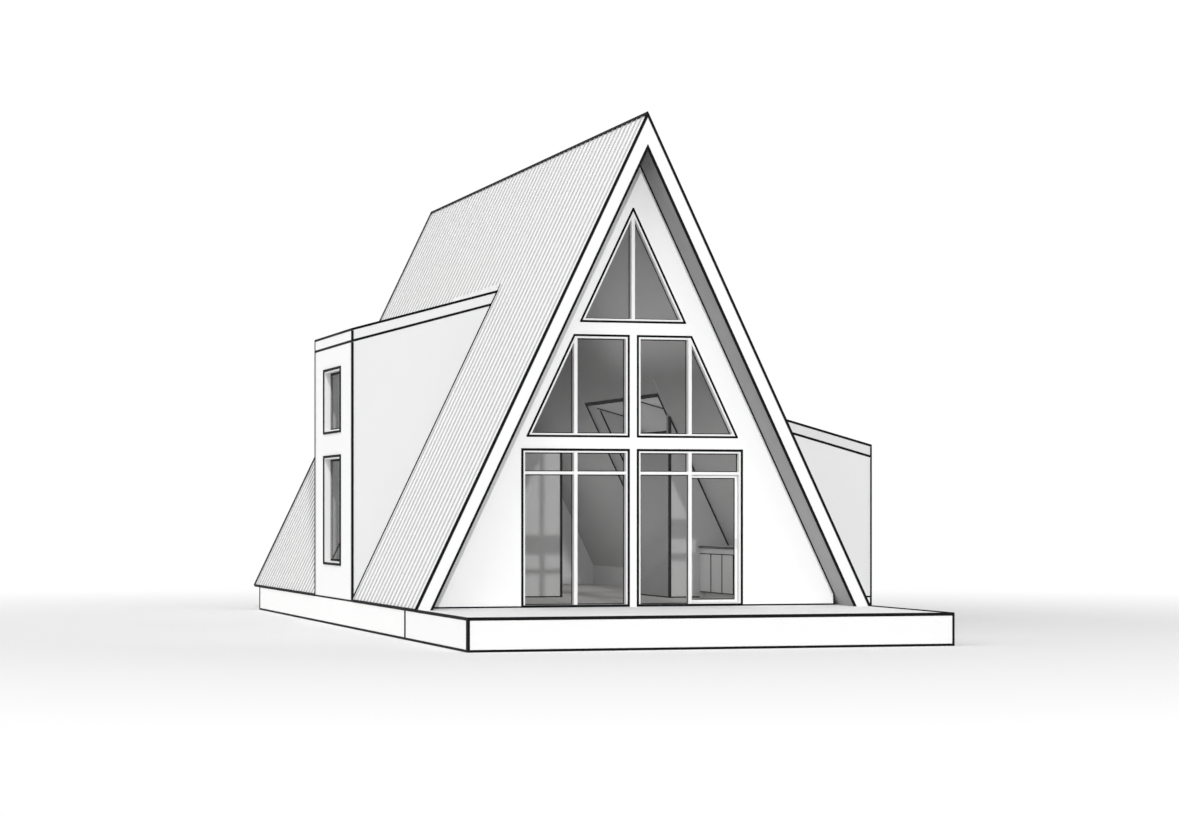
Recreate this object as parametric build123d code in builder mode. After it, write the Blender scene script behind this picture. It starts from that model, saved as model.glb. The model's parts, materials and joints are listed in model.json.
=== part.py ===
from build123d import *
from math import atan2, cos, sin, tan
import os

os.makedirs("parts", exist_ok=True)

# A-frame cabin with a front deck, a two-storey shed wing on the left and a one-storey
# shed wing on the right.  Millimetres.  X runs to the right seen from the front, Y runs
# from the front wall to the rear, Z is up.  The origin is on the ground, below the
# middle of the front wall's outer face.

# ---- the A-frame
floor_z = 481.0            # top of foundation, deck and floor above the ground
half_width = 3719.0        # middle of the house to a roof foot's outer edge
ridge_rise = 7750.0        # ridge above the floor
house_length = 14145.0     # outer face of the front wall to outer face of the rear wall
front_overhang = 797.0     # roof in front of the front wall
rear_overhang = 622.0      # roof behind the rear wall
roof_thickness = 190.0     # square to the slope, cladding included
cladding_thickness = 24.0  # roofing sheet and its boarding
seam_count = 57            # bays of the standing seam roof along a slope
seam_height = 20.0
seam_width = 22.0
ridge_leg = 45.0           # ridge capping down each slope
flashing_thickness = 4.0
rake_thickness = 38.0      # boards that close the slopes' ends
rake_depth = 232.0         # their lower edge, square below the roof's outer face
wall_thickness = 152.0
knee_setback = 298.0       # roof foot's outer edge to the outer face of a knee wall
knee_thickness = 100.0

# ---- foundation and floor
slab_thickness = 150.0     # raft above its pods
rib_width = 260.0          # raft's ribs between and round the pods
pod_columns = 5
pod_rows = 9
finish_thickness = 20.0    # floor finish, let into the raft

# ---- deck
deck_depth = 4236.0        # deck's front edge to the front wall
board_thickness = 28.0     # deck surface
fascia_board = 40.0        # boards round the deck's frame
joist_width = 45.0
joist_depth = 240.0
joist_count = 11

# ---- wings
wing_front = 4309.0        # front wall's face to the wings' front faces
wing_slope = 0.274         # rise of a wing's roof for each unit it runs inwards
wing_roof_depth = 231.0    # wing's roof slab, plumb
wing_trim = 25.0           # fascia boards on the wing roofs' edges
left_wing_length = 3551.0
left_wing_height = 4650.0  # top of the roof's outer edge above the floor
right_wing_length = 4971.0
right_wing_height = 2719.0
right_wing_reach = 2043.0  # right wing beyond the side of the house

# ---- windows
frame_depth = 140.0        # frames, from the wall's outer face inwards
frame_face = 45.0          # width of a frame's outer members
mullion_face = 56.0
transom_face = 46.0
glass_thickness = 24.0
glass_setback = 110.0      # outer face of a frame to its glass
door_light_setback = 34.0  # the same for the fixed light that the leaf slides behind
post_width = 152.0         # wall between the pair of units on a storey
unit_width = 1753.0        # lower window and door units
unit_height = 2502.0
transom_height = 2134.0    # middle of the transom bar above the floor
storey_band = 216.0        # wall between the rows of windows
upper_height = 1605.0      # raked windows of the upper storey
loft_band = 224.0          # wall between the raked windows and the top one
rake_margin = 459.6        # plumb faces' distance from raked glazing to the roof's inner face
wing_window_start = 1025.0 # wing's front face to its windows
wing_window_width = 1575.0
low_sill = 594.0           # wings' lower windows above the floor
high_window_height = 1118.0
high_window_drop = 380.0   # underside of the left wing's roof to its upper window
window_pier = 424.0        # wall between the left wing's windows
right_window_drop = 356.0  # underside of the right wing's roof to its window
rear_sill = 594.0          # the rear wall's lower windows stop above the floor

# ---- sliding door
leaf_depth = 44.0
leaf_stile = 45.0
leaf_rail = 42.0
running_gap = 6.0          # leaf to anything that it passes
seat_gap = 0.3             # rollers to their rail
rail_height = 12.0
rail_width = 8.0
roller_radius = 22.0
roller_width = 12.0
roller_inset = 150.0       # leaf's edge to a roller's middle
sill_height = 40.0

# ---- partitions and kitchen seen through the lower windows
room_wall_edge = 230.0     # middle of the house to the free edge of the left room's wall
room_wall_height = 2700.0
room_wall_margin = 20.0    # room wall to the near jamb of the left wing's windows
partition_reach = 1471.0   # knee wall's outer face to the free edge of the kitchen's partition
unit_reach = 897.0         # knee wall's outer face to the doors of the base units
base_unit_width = 610.0
base_unit_count = 4
worktop_height = 914.0
worktop_thickness = 38.0
worktop_overhang = 25.0
plinth_height = 100.0
plinth_recess = 50.0
unit_door_thickness = 19.0
unit_door_gap = 4.0
rail_strip = 90.0          # plain strip of the units between worktop and doors

# ---- derived geometry of the A
pitch = atan2(ridge_rise, half_width)
ridge_z = floor_z + ridge_rise
roof_start = -front_overhang
roof_end = house_length + rear_overhang
roof_length = roof_end - roof_start
knee_face = half_width - knee_setback
knee_inner = knee_face - knee_thickness
partition_edge = knee_face - partition_reach
unit_front = knee_face - unit_reach


def roof_x(z, depth):
    """Half the width of the A at height z, at a depth square below its outer face."""
    return (ridge_z - z) / tan(pitch) - depth / sin(pitch)


def roof_z(x, depth):
    """Height of the slope over x, at a depth square below its outer face."""
    return ridge_z - depth / cos(pitch) - x * tan(pitch)


def across(y):
    """The plane across the house at y, seen from the front."""
    return Plane.XZ.offset(-y)


def slope_band(side, outer, inner):
    """Section of one slope between two depths, cut flat at the floor and plumb at the ridge."""
    return [
        (side * roof_x(floor_z, outer), floor_z),
        (0, roof_z(0, outer)),
        (0, roof_z(0, inner)),
        (side * roof_x(floor_z, inner), floor_z),
    ]


def wing_top(side_x, height, x):
    """Height of a wing roof's upper face over x, measured out from the middle."""
    return floor_z + height + wing_slope * (side_x - x)


def meet_x(side_x, height, depth, drop):
    """Where a line a plumb drop below a wing's roof meets the slope at a depth."""
    level = floor_z + height + wing_slope * side_x - drop
    return (roof_z(0, depth) - level) / (tan(pitch) - wing_slope)


def wing_band(side, side_x, height, start, drop_top, drop_bottom):
    """Section of a wing's roof from its outer end in to the inner face of the main slope."""
    top_x = meet_x(side_x, height, roof_thickness, drop_top)
    low_x = meet_x(side_x, height, roof_thickness, drop_bottom)
    return [
        (side * start, wing_top(side_x, height, start) - drop_top),
        (side * top_x, roof_z(top_x, roof_thickness)),
        (side * low_x, roof_z(low_x, roof_thickness)),
        (side * start, wing_top(side_x, height, start) - drop_bottom),
    ]


def cheek(side, side_x, height):
    """Section of a wing's side wall, closed against the slope and the knee wall."""
    low_x = meet_x(side_x, height, roof_thickness, wing_roof_depth)
    return [
        (side * side_x, floor_z),
        (side * side_x, wing_top(side_x, height, side_x) - wing_roof_depth),
        (side * low_x, roof_z(low_x, roof_thickness)),
        (side * knee_face, roof_z(knee_face, roof_thickness)),
        (side * knee_face, floor_z),
    ]


def wing_cut(side, side_x, height):
    """Section of everything under a wing roof's upper face, out past the main slope."""
    reach = side_x + roof_thickness
    return [
        (0, floor_z),
        (0, wing_top(side_x, height, 0)),
        (side * reach, wing_top(side_x, height, reach)),
        (side * reach, floor_z),
    ]


# the two wings: side, outer face, height, front face, rear face
left_side = half_width
right_side = half_width + right_wing_reach
left_wing_rear = wing_front + left_wing_length
right_wing_rear = wing_front + right_wing_length

# =====================================================================
# Foundation, floor and deck
# =====================================================================
floor_start = wall_thickness
floor_end = house_length - wall_thickness

with BuildSketch() as floor_plan:
    with Locations((0, (floor_start + floor_end) / 2)):
        Rectangle(2 * knee_inner, floor_end - floor_start)
    left_room = left_wing_length - 2 * wall_thickness
    with Locations((-(left_side - wall_thickness), wing_front + wall_thickness)):
        Rectangle(left_side - wall_thickness - knee_inner, left_room, align=(Align.MIN, Align.MIN))
    right_room = right_wing_length - 2 * wall_thickness
    with Locations((knee_inner, wing_front + wall_thickness)):
        Rectangle(right_side - wall_thickness - knee_inner, right_room, align=(Align.MIN, Align.MIN))

# raft of the house, stiffened by ribs between pods that are open below
with BuildPart() as house_foundation:
    with BuildSketch() as raft_plan:
        with Locations((0, house_length / 2)):
            Rectangle(2 * half_width, house_length)
    extrude(amount=floor_z)
    pod_x = (2 * half_width - rib_width) / pod_columns
    pod_y = (house_length - rib_width) / pod_rows
    with BuildSketch() as pod_plan:
        with Locations((0, house_length / 2)):
            with GridLocations(pod_x, pod_y, pod_columns, pod_rows):
                Rectangle(pod_x - rib_width, pod_y - rib_width)
    extrude(amount=floor_z - slab_thickness, mode=Mode.SUBTRACT)
    with BuildSketch(Plane.XY.offset(floor_z)) as house_finish:
        add(floor_plan.sketch)
    extrude(amount=-finish_thickness, mode=Mode.SUBTRACT)
house_foundation.part.label = "house_foundation"
export_step(house_foundation.part, "parts/house_foundation.step")

# footing of the right wing, a raft of its own against the side of the house's
with BuildPart() as wing_foundation:
    with BuildSketch() as wing_raft_plan:
        with Locations((half_width, wing_front)):
            Rectangle(right_wing_reach, right_wing_length, align=(Align.MIN, Align.MIN))
    extrude(amount=floor_z)
    wing_pod = (right_wing_length - rib_width) / 3
    with BuildSketch() as wing_pod_plan:
        with Locations((half_width + right_wing_reach / 2, wing_front + right_wing_length / 2)):
            with GridLocations(1, wing_pod, 1, 3):
                Rectangle(right_wing_reach - 2 * rib_width, wing_pod - rib_width)
    extrude(amount=floor_z - slab_thickness, mode=Mode.SUBTRACT)
    with BuildSketch(Plane.XY.offset(floor_z)) as wing_finish:
        add(floor_plan.sketch)
    extrude(amount=-finish_thickness, mode=Mode.SUBTRACT)
wing_foundation.part.label = "wing_foundation"
export_step(wing_foundation.part, "parts/wing_foundation.step")

# one floor finish through the house and both wings
with BuildPart() as floor_finish:
    with BuildSketch(Plane.XY.offset(floor_z - finish_thickness)) as finish_plan:
        add(floor_plan.sketch)
    extrude(amount=finish_thickness)
floor_finish.part.label = "floor_finish"
export_step(floor_finish.part, "parts/floor_finish.step")

# deck frame: rim boards down to the ground and joists between them
frame_top = floor_z - board_thickness
with BuildPart() as deck_frame:
    with BuildSketch() as rim_plan:
        with Locations((0, -deck_depth / 2)):
            Rectangle(2 * half_width, deck_depth)
        with Locations((0, -deck_depth + fascia_board)):
            Rectangle(
                2 * (half_width - fascia_board),
                deck_depth,
                align=(Align.CENTER, Align.MIN),
                mode=Mode.SUBTRACT,
            )
    extrude(amount=frame_top)
    joist_pitch = 2 * (half_width - fascia_board) / (joist_count + 1)
    with BuildSketch(Plane.XY.offset(frame_top - joist_depth)) as joist_plan:
        with Locations((0, -(deck_depth - fascia_board) / 2)):
            with GridLocations(joist_pitch, 1, joist_count, 1):
                Rectangle(joist_width, deck_depth - fascia_board)
    extrude(amount=joist_depth)
deck_frame.part.label = "deck_frame"
export_step(deck_frame.part, "parts/deck_frame.step")

with BuildPart() as deck_surface:
    with BuildSketch(Plane.XY.offset(frame_top)) as deck_plan:
        with Locations((0, -deck_depth / 2)):
            Rectangle(2 * half_width, deck_depth)
    extrude(amount=board_thickness)
deck_surface.part.label = "deck_surface"
export_step(deck_surface.part, "parts/deck_surface.step")

# =====================================================================
# Roof slopes, cladding and rake boards
# =====================================================================
wings = {
    "left": (-1, left_side, left_wing_height, wing_front, left_wing_rear),
    "right": (1, right_side, right_wing_height, wing_front, right_wing_rear),
}
seam_pitch = (roof_length - seam_width) / seam_count

for name, (side, side_x, height, front, rear) in wings.items():
    # rafters and insulation as one slab, open where the wing runs in
    with BuildPart() as slope:
        with BuildSketch(across(roof_start + rake_thickness)) as slope_section:
            Polygon(*slope_band(side, cladding_thickness, roof_thickness), align=None)
        extrude(amount=-(roof_length - 2 * rake_thickness))
        with BuildSketch(across(front)) as slope_opening:
            Polygon(*wing_cut(side, side_x, height), align=None)
        extrude(amount=-(rear - front), mode=Mode.SUBTRACT)
    slope.part.label = name + "_roof_slope"
    export_step(slope.part, "parts/" + name + "_roof_slope.step")

    # sheet with standing seams from the ridge to the foot
    with BuildPart() as cladding:
        with BuildSketch(across(roof_start)) as sheet_section:
            Polygon(*slope_band(side, 0, cladding_thickness), align=None)
        extrude(amount=-roof_length)
        seam_planes = [across(roof_start + i * seam_pitch) for i in range(seam_count + 1)]
        with BuildSketch(*seam_planes) as seam_section:
            Polygon(*slope_band(side, -seam_height, 0), align=None)
        extrude(amount=-seam_width)
        with BuildSketch(across(front)) as cladding_opening:
            Polygon(*wing_cut(side, side_x, height), align=None)
        extrude(amount=-(rear - front), mode=Mode.SUBTRACT)
    cladding.part.label = name + "_roof_cladding"
    export_step(cladding.part, "parts/" + name + "_roof_cladding.step")

    for end, y in (("front", roof_start), ("rear", roof_end - rake_thickness)):
        with BuildPart() as rake:
            with BuildSketch(across(y)) as rake_section:
                Polygon(*slope_band(side, cladding_thickness, rake_depth), align=None)
            extrude(amount=-rake_thickness)
        rake.part.label = end + "_" + name + "_rake_board"
        export_step(rake.part, "parts/" + end + "_" + name + "_rake_board.step")

# ridge capping, folded over the ends of the seams
flashing_x = ridge_leg * cos(pitch)
flashing_top = -(seam_height + flashing_thickness)
with BuildPart() as ridge_flashing:
    with BuildSketch(across(roof_start)) as flashing_section:
        Polygon(
            (-flashing_x, roof_z(flashing_x, flashing_top)),
            (0, roof_z(0, flashing_top)),
            (flashing_x, roof_z(flashing_x, flashing_top)),
            (flashing_x, roof_z(flashing_x, -seam_height)),
            (0, roof_z(0, -seam_height)),
            (-flashing_x, roof_z(flashing_x, -seam_height)),
            align=None,
        )
    extrude(amount=-roof_length)
ridge_flashing.part.label = "ridge_flashing"
export_step(ridge_flashing.part, "parts/ridge_flashing.step")

# =====================================================================
# End walls, with the glazing's openings cut through
# =====================================================================
unit_x = post_width / 2 + unit_width / 2
unit_top = floor_z + unit_height
upper_sill = unit_top + storey_band
upper_head = upper_sill + upper_height
top_sill = upper_head + loft_band


def glazing_x(z):
    """Half the width, at height z, of the raked glazing that follows the roof."""
    return roof_x(z, roof_thickness) - rake_margin


# raked windows: outlines in the plane of the wall, the right-hand one of each pair
top_apex = ridge_z - roof_thickness / cos(pitch) - rake_margin * tan(pitch)
top_outline = [(-glazing_x(top_sill), top_sill), (0, top_apex), (glazing_x(top_sill), top_sill)]
raked_outline = [
    (post_width / 2, upper_sill),
    (post_width / 2, upper_head),
    (glazing_x(upper_head), upper_head),
    (glazing_x(upper_sill), upper_sill),
]


def wall_half(z_low, z_high, x_in):
    """Right half of an end wall between two levels, from x_in out to the roof or the knee."""
    points = [(x_in, z_low), (x_in, z_high)]
    points.append((roof_x(z_high, roof_thickness), z_high))
    if roof_x(z_low, roof_thickness) > knee_face:
        points.append((knee_face, roof_z(knee_face, roof_thickness)))
        points.append((knee_face, z_low))
    else:
        points.append((roof_x(z_low, roof_thickness), z_low))
    return points


# front wall beside the lower units
unit_edge = post_width / 2 + unit_width
for name, side in (("left", -1), ("right", 1)):
    with BuildPart() as beside:
        with BuildSketch(across(0)) as beside_section:
            Polygon(*[(side * x, z) for x, z in wall_half(floor_z, unit_top, unit_edge)], align=None)
        extrude(amount=-wall_thickness)
    beside.part.label = "front_wall_" + name
    export_step(beside.part, "parts/front_wall_" + name + ".step")

# post between the lower units
with BuildPart() as front_wall_post:
    with BuildSketch(Plane.XY.offset(floor_z)) as post_plan:
        with Locations((0, wall_thickness / 2)):
            Rectangle(post_width, wall_thickness)
    extrude(amount=unit_height)
front_wall_post.part.label = "front_wall_post"
export_step(front_wall_post.part, "parts/front_wall_post.step")

# beam of wall over the lower units
with BuildPart() as front_wall_band:
    with BuildSketch(across(0)) as band_section:
        Polygon(*wall_half(unit_top, upper_sill, 0), align=None)
        mirror(about=Plane.YZ)
    extrude(amount=-wall_thickness)
front_wall_band.part.label = "front_wall_band"
export_step(front_wall_band.part, "parts/front_wall_band.step")

# upper wall, with the raked pair and the top window
with BuildPart() as front_wall_upper:
    with BuildSketch(across(0)) as upper_section:
        with BuildLine():
            low_x = roof_x(upper_sill, roof_thickness)
            Polyline((-low_x, upper_sill), (0, roof_z(0, roof_thickness)), (low_x, upper_sill), close=True)
        make_face()
        Polygon(*raked_outline, align=None, mode=Mode.SUBTRACT)
        Polygon(*[(-x, z) for x, z in raked_outline], align=None, mode=Mode.SUBTRACT)
        Polygon(*top_outline, align=None, mode=Mode.SUBTRACT)
    extrude(amount=-wall_thickness)
front_wall_upper.part.label = "front_wall_upper"
export_step(front_wall_upper.part, "parts/front_wall_upper.step")

# rear wall: the same storeys, its lower windows on a sill
rear_face = house_length - wall_thickness
with BuildPart() as rear_wall:
    with BuildSketch(across(rear_face)) as rear_section:
        with BuildLine():
            foot_z = roof_z(knee_face, roof_thickness)
            Polyline(
                (-knee_face, floor_z),
                (-knee_face, foot_z),
                (0, roof_z(0, roof_thickness)),
                (knee_face, foot_z),
                (knee_face, floor_z),
                close=True,
            )
        make_face()
        Polygon(*raked_outline, align=None, mode=Mode.SUBTRACT)
        Polygon(*[(-x, z) for x, z in raked_outline], align=None, mode=Mode.SUBTRACT)
        Polygon(*top_outline, align=None, mode=Mode.SUBTRACT)
        with Locations((-unit_x, floor_z + rear_sill), (unit_x, floor_z + rear_sill)):
            Rectangle(
                unit_width,
                unit_height - rear_sill,
                align=(Align.CENTER, Align.MIN),
                mode=Mode.SUBTRACT,
            )
    extrude(amount=-wall_thickness)
rear_wall.part.label = "rear_wall"
export_step(rear_wall.part, "parts/rear_wall.step")

# knee walls that close the low corner under each slope, stopped at the wings
knee_section = [
    (knee_inner, floor_z),
    (knee_inner, roof_z(knee_inner, roof_thickness)),
    (knee_face, roof_z(knee_face, roof_thickness)),
    (knee_face, floor_z),
]
with BuildPart() as knee_walls:
    for name, (side, side_x, height, front, rear) in wings.items():
        front_stop = front if side > 0 else front + wall_thickness
        with BuildSketch(across(wall_thickness)) as front_knee:
            Polygon(*[(side * x, z) for x, z in knee_section], align=None)
        extrude(amount=-(front_stop - wall_thickness))
        with BuildSketch(across(rear - wall_thickness)) as rear_knee:
            Polygon(*[(side * x, z) for x, z in knee_section], align=None)
        extrude(amount=-(rear_face - rear + wall_thickness))
knee_walls.part.label = "knee_walls"
export_step(knee_walls.part, "parts/knee_walls.step")

# =====================================================================
# Wings
# =====================================================================
high_sill = left_wing_height - wing_roof_depth - high_window_drop - high_window_height
low_window_height = high_sill - window_pier - low_sill
right_window_height = right_wing_height - wing_roof_depth - right_window_drop - low_sill
wing_windows = {
    "left": [(low_sill, low_window_height), (high_sill, high_window_height)],
    "right": [(low_sill, right_window_height)],
}
window_y = wing_front + wing_window_start + wing_window_width / 2

for name, (side, side_x, height, front, rear) in wings.items():
    # front and rear walls, closed against the slope and the knee walls
    with BuildPart() as wing_cheeks:
        with BuildSketch(across(front), across(rear - wall_thickness)) as cheek_section:
            Polygon(*cheek(side, side_x, height), align=None)
        extrude(amount=-wall_thickness)
    wing_cheeks.part.label = name + "_wing_cheek_walls"
    export_step(wing_cheeks.part, "parts/" + name + "_wing_cheek_walls.step")

    # outer wall, its head on the slope of the wing's roof
    inner_x = side_x - wall_thickness
    with BuildPart() as wing_outer:
        with BuildSketch(across(front + wall_thickness)) as outer_section:
            Polygon(
                (side * side_x, floor_z),
                (side * side_x, wing_top(side_x, height, side_x) - wing_roof_depth),
                (side * inner_x, wing_top(side_x, height, inner_x) - wing_roof_depth),
                (side * inner_x, floor_z),
                align=None,
            )
        extrude(amount=-(rear - front - 2 * wall_thickness))
        for sill, window_height in wing_windows[name]:
            with BuildSketch(Plane.YZ.offset(side * side_x)) as window_hole:
                with Locations((window_y, floor_z + sill)):
                    Rectangle(wing_window_width, window_height, align=(Align.CENTER, Align.MIN))
            extrude(amount=-side * wall_thickness, mode=Mode.SUBTRACT)
    wing_outer.part.label = name + "_wing_outer_wall"
    export_step(wing_outer.part, "parts/" + name + "_wing_outer_wall.step")

    # roof slab between its edge boards
    with BuildPart() as wing_roof:
        with BuildSketch(across(front + wing_trim)) as wing_roof_section:
            Polygon(
                *wing_band(side, side_x, height, side_x - wing_trim, 0, wing_roof_depth),
                align=None,
            )
        extrude(amount=-(rear - front - 2 * wing_trim))
    wing_roof.part.label = name + "_wing_roof"
    export_step(wing_roof.part, "parts/" + name + "_wing_roof.step")

    # fascia round the roof's three free edges
    with BuildPart() as wing_fascia:
        with BuildSketch(across(front)) as fascia_section:
            Polygon(*wing_band(side, side_x, height, side_x, 0, wing_roof_depth), align=None)
        extrude(amount=-(rear - front))
        with BuildSketch(across(front + wing_trim)) as fascia_inside:
            Polygon(
                *wing_band(side, side_x, height, side_x - wing_trim, 0, wing_roof_depth),
                align=None,
            )
        extrude(amount=-(rear - front - 2 * wing_trim), mode=Mode.SUBTRACT)
    wing_fascia.part.label = name + "_wing_fascia"
    export_step(wing_fascia.part, "parts/" + name + "_wing_fascia.step")

# =====================================================================
# Window frames and glass of the end walls
# =====================================================================


def inset_raked(face):
    """The raked unit's outline moved in by a member's face on every side."""
    plumb = face / sin(pitch)
    return [
        (post_width / 2 + face, upper_sill + face),
        (post_width / 2 + face, upper_head - face),
        (glazing_x(upper_head - face) - plumb, upper_head - face),
        (glazing_x(upper_sill + face) - plumb, upper_sill + face),
    ]


def inset_top(face):
    """The top window's outline moved in by a member's face on every side."""
    foot = glazing_x(top_sill + face) - face / sin(pitch)
    return [(-foot, top_sill + face), (0, top_apex - face / cos(pitch)), (foot, top_sill + face)]


raked_mullion = post_width / 2 + unit_width / 2
mullion_size = (mullion_face, ridge_rise)

# top window: two triangles of glass either side of a mullion
with BuildPart() as gable_window_frame:
    with BuildSketch(across(0)) as top_frame_section:
        Polygon(*top_outline, align=None)
        Polygon(*inset_top(frame_face), align=None, mode=Mode.SUBTRACT)
        with BuildSketch(mode=Mode.PRIVATE) as top_bar:
            with Locations((0, top_apex)):
                Rectangle(*mullion_size)
            Polygon(*inset_top(frame_face / 2), align=None, mode=Mode.INTERSECT)
        add(top_bar.sketch)
    extrude(amount=-frame_depth)
gable_window_frame.part.label = "gable_window_frame"
export_step(gable_window_frame.part, "parts/gable_window_frame.step")

# raked pair of the upper storey
with BuildPart() as upper_window_frames:
    with BuildSketch(across(0)) as raked_frame_section:
        Polygon(*raked_outline, align=None)
        Polygon(*inset_raked(frame_face), align=None, mode=Mode.SUBTRACT)
        with BuildSketch(mode=Mode.PRIVATE) as raked_bar:
            with Locations((raked_mullion, upper_sill)):
                Rectangle(*mullion_size)
            Polygon(*inset_raked(frame_face / 2), align=None, mode=Mode.INTERSECT)
        add(raked_bar.sketch)
        mirror(about=Plane.YZ)
    extrude(amount=-frame_depth)
upper_window_frames.part.label = "upper_window_frames"
export_step(upper_window_frames.part, "parts/upper_window_frames.step")

# fixed unit left of the post: two lights and two transom lights
light_width = (unit_width - 2 * frame_face - mullion_face) / 2
light_x = mullion_face / 2 + light_width / 2
light_low = floor_z + sill_height
light_mid_low = floor_z + transom_height - transom_face / 2
light_mid_high = floor_z + transom_height + transom_face / 2
light_top = unit_top - frame_face


def unit_lights(centre):
    """Centres and heights of a unit's four lights, low pair first."""
    low = [(centre - light_x, light_low, light_mid_low), (centre + light_x, light_low, light_mid_low)]
    high = [(centre - light_x, light_mid_high, light_top), (centre + light_x, light_mid_high, light_top)]
    return low + high


with BuildPart() as lower_window_frame:
    with BuildSketch(across(0)) as lower_frame_section:
        with Locations((-unit_x, floor_z)):
            Rectangle(unit_width, unit_height, align=(Align.CENTER, Align.MIN))
        for x, low, high in unit_lights(-unit_x):
            with Locations((x, low)):
                Rectangle(light_width, high - low, align=(Align.CENTER, Align.MIN), mode=Mode.SUBTRACT)
    extrude(amount=-frame_depth)
lower_window_frame.part.label = "lower_window_frame"
export_step(lower_window_frame.part, "parts/lower_window_frame.step")

# door unit right of the post: its mullion is only as deep as the fixed light's track
track_split = door_light_setback + glass_thickness + 8.0
leaf_y = track_split + running_gap
door_open_left = unit_x - unit_width / 2 + frame_face
door_open_right = unit_x + unit_width / 2 - frame_face
with BuildPart() as door_frame:
    with BuildSketch(across(0)) as door_frame_section:
        with Locations((unit_x, floor_z)):
            Rectangle(unit_width, unit_height, align=(Align.CENTER, Align.MIN))
        for x, low, high in unit_lights(unit_x):
            with Locations((x, low)):
                Rectangle(light_width, high - low, align=(Align.CENTER, Align.MIN), mode=Mode.SUBTRACT)
    extrude(amount=-frame_depth)
    # room for the leaf behind the fixed light and the mullion
    with BuildSketch(across(track_split)) as leaf_track:
        with Locations((unit_x, light_low)):
            Rectangle(
                door_open_right - door_open_left,
                light_mid_low - light_low,
                align=(Align.CENTER, Align.MIN),
            )
    extrude(amount=-(frame_depth - track_split), mode=Mode.SUBTRACT)
    # rail that the leaf's rollers run on
    with BuildSketch(Plane.XY.offset(light_low)) as rail_plan:
        with Locations((unit_x, leaf_y + leaf_depth / 2)):
            Rectangle(door_open_right - door_open_left, rail_width)
    extrude(amount=rail_height)
door_frame.part.label = "door_frame"
export_step(door_frame.part, "parts/door_frame.step")

# sliding leaf: stiles and rails round one light, on two rollers
leaf_left = unit_x - mullion_face / 2
leaf_right = door_open_right - running_gap
leaf_width = leaf_right - leaf_left
leaf_bottom = light_low + rail_height + running_gap
leaf_top = light_mid_low - running_gap
leaf_height = leaf_top - leaf_bottom
leaf_centre = (leaf_left + leaf_right) / 2
roller_z = light_low + rail_height + seat_gap + roller_radius
with BuildPart() as sliding_door:
    with BuildSketch(across(leaf_y)) as leaf_section:
        with Locations((leaf_centre, (leaf_bottom + leaf_top) / 2)):
            Rectangle(leaf_width, leaf_height)
            Rectangle(leaf_width - 2 * leaf_stile, leaf_height - 2 * leaf_rail, mode=Mode.SUBTRACT)
    extrude(amount=-leaf_depth)
    with BuildSketch(across(leaf_y + (leaf_depth - roller_width) / 2)) as roller_section:
        with Locations((leaf_left + roller_inset, roller_z), (leaf_right - roller_inset, roller_z)):
            Circle(roller_radius)
    extrude(amount=-roller_width)
sliding_door.part.label = "sliding_door"
export_step(sliding_door.part, "parts/sliding_door.step")

with BuildPart() as door_glass:
    with BuildSketch(across(leaf_y + (leaf_depth - glass_thickness) / 2)) as leaf_light:
        with Locations((leaf_centre, (leaf_bottom + leaf_top) / 2)):
            Rectangle(leaf_width - 2 * leaf_stile, leaf_height - 2 * leaf_rail)
    extrude(amount=-glass_thickness)
door_glass.part.label = "door_glass"
export_step(door_glass.part, "parts/door_glass.step")

# fixed glass of the ground floor: every light but the one that the leaf closes
with BuildPart() as front_lower_glass:
    window_lights = unit_lights(-unit_x) + unit_lights(unit_x)[2:]
    door_lights = unit_lights(unit_x)[:1]
    for setback, lights in ((glass_setback, window_lights), (door_light_setback, door_lights)):
        with BuildSketch(across(setback)) as lower_glass_section:
            for x, low, high in lights:
                with Locations((x, low)):
                    Rectangle(light_width, high - low, align=(Align.CENTER, Align.MIN))
        extrude(amount=-glass_thickness)
front_lower_glass.part.label = "front_lower_glass"
export_step(front_lower_glass.part, "parts/front_lower_glass.step")

# raked and top lights share one outline with their frames
with BuildSketch() as raked_lights:
    Polygon(*inset_raked(frame_face), align=None)
    with Locations((raked_mullion, upper_sill)):
        Rectangle(*mullion_size, mode=Mode.SUBTRACT)
    mirror(about=Plane.YZ)
    Polygon(*inset_top(frame_face), align=None)
    with Locations((0, top_apex)):
        Rectangle(*mullion_size, mode=Mode.SUBTRACT)

with BuildPart() as front_upper_glass:
    with BuildSketch(across(glass_setback)) as upper_glass_section:
        add(raked_lights.sketch)
    extrude(amount=-glass_thickness)
front_upper_glass.part.label = "front_upper_glass"
export_step(front_upper_glass.part, "parts/front_upper_glass.step")

# rear frames: the same sections, with their outer faces on the rear wall's
rear_frame_y = house_length - frame_depth
rear_light_low = floor_z + rear_sill + frame_face
with BuildPart() as rear_window_frames:
    with BuildSketch(across(rear_frame_y)) as rear_frame_section:
        add(raked_frame_section.sketch_local)
        add(top_frame_section.sketch_local)
        for centre in (-unit_x, unit_x):
            with Locations((centre, floor_z + rear_sill)):
                Rectangle(unit_width, unit_height - rear_sill, align=(Align.CENTER, Align.MIN))
            with Locations((centre - light_x, rear_light_low), (centre + light_x, rear_light_low)):
                Rectangle(
                    light_width,
                    light_top - rear_light_low,
                    align=(Align.CENTER, Align.MIN),
                    mode=Mode.SUBTRACT,
                )
    extrude(amount=-frame_depth)
rear_window_frames.part.label = "rear_window_frames"
export_step(rear_window_frames.part, "parts/rear_window_frames.step")

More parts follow.
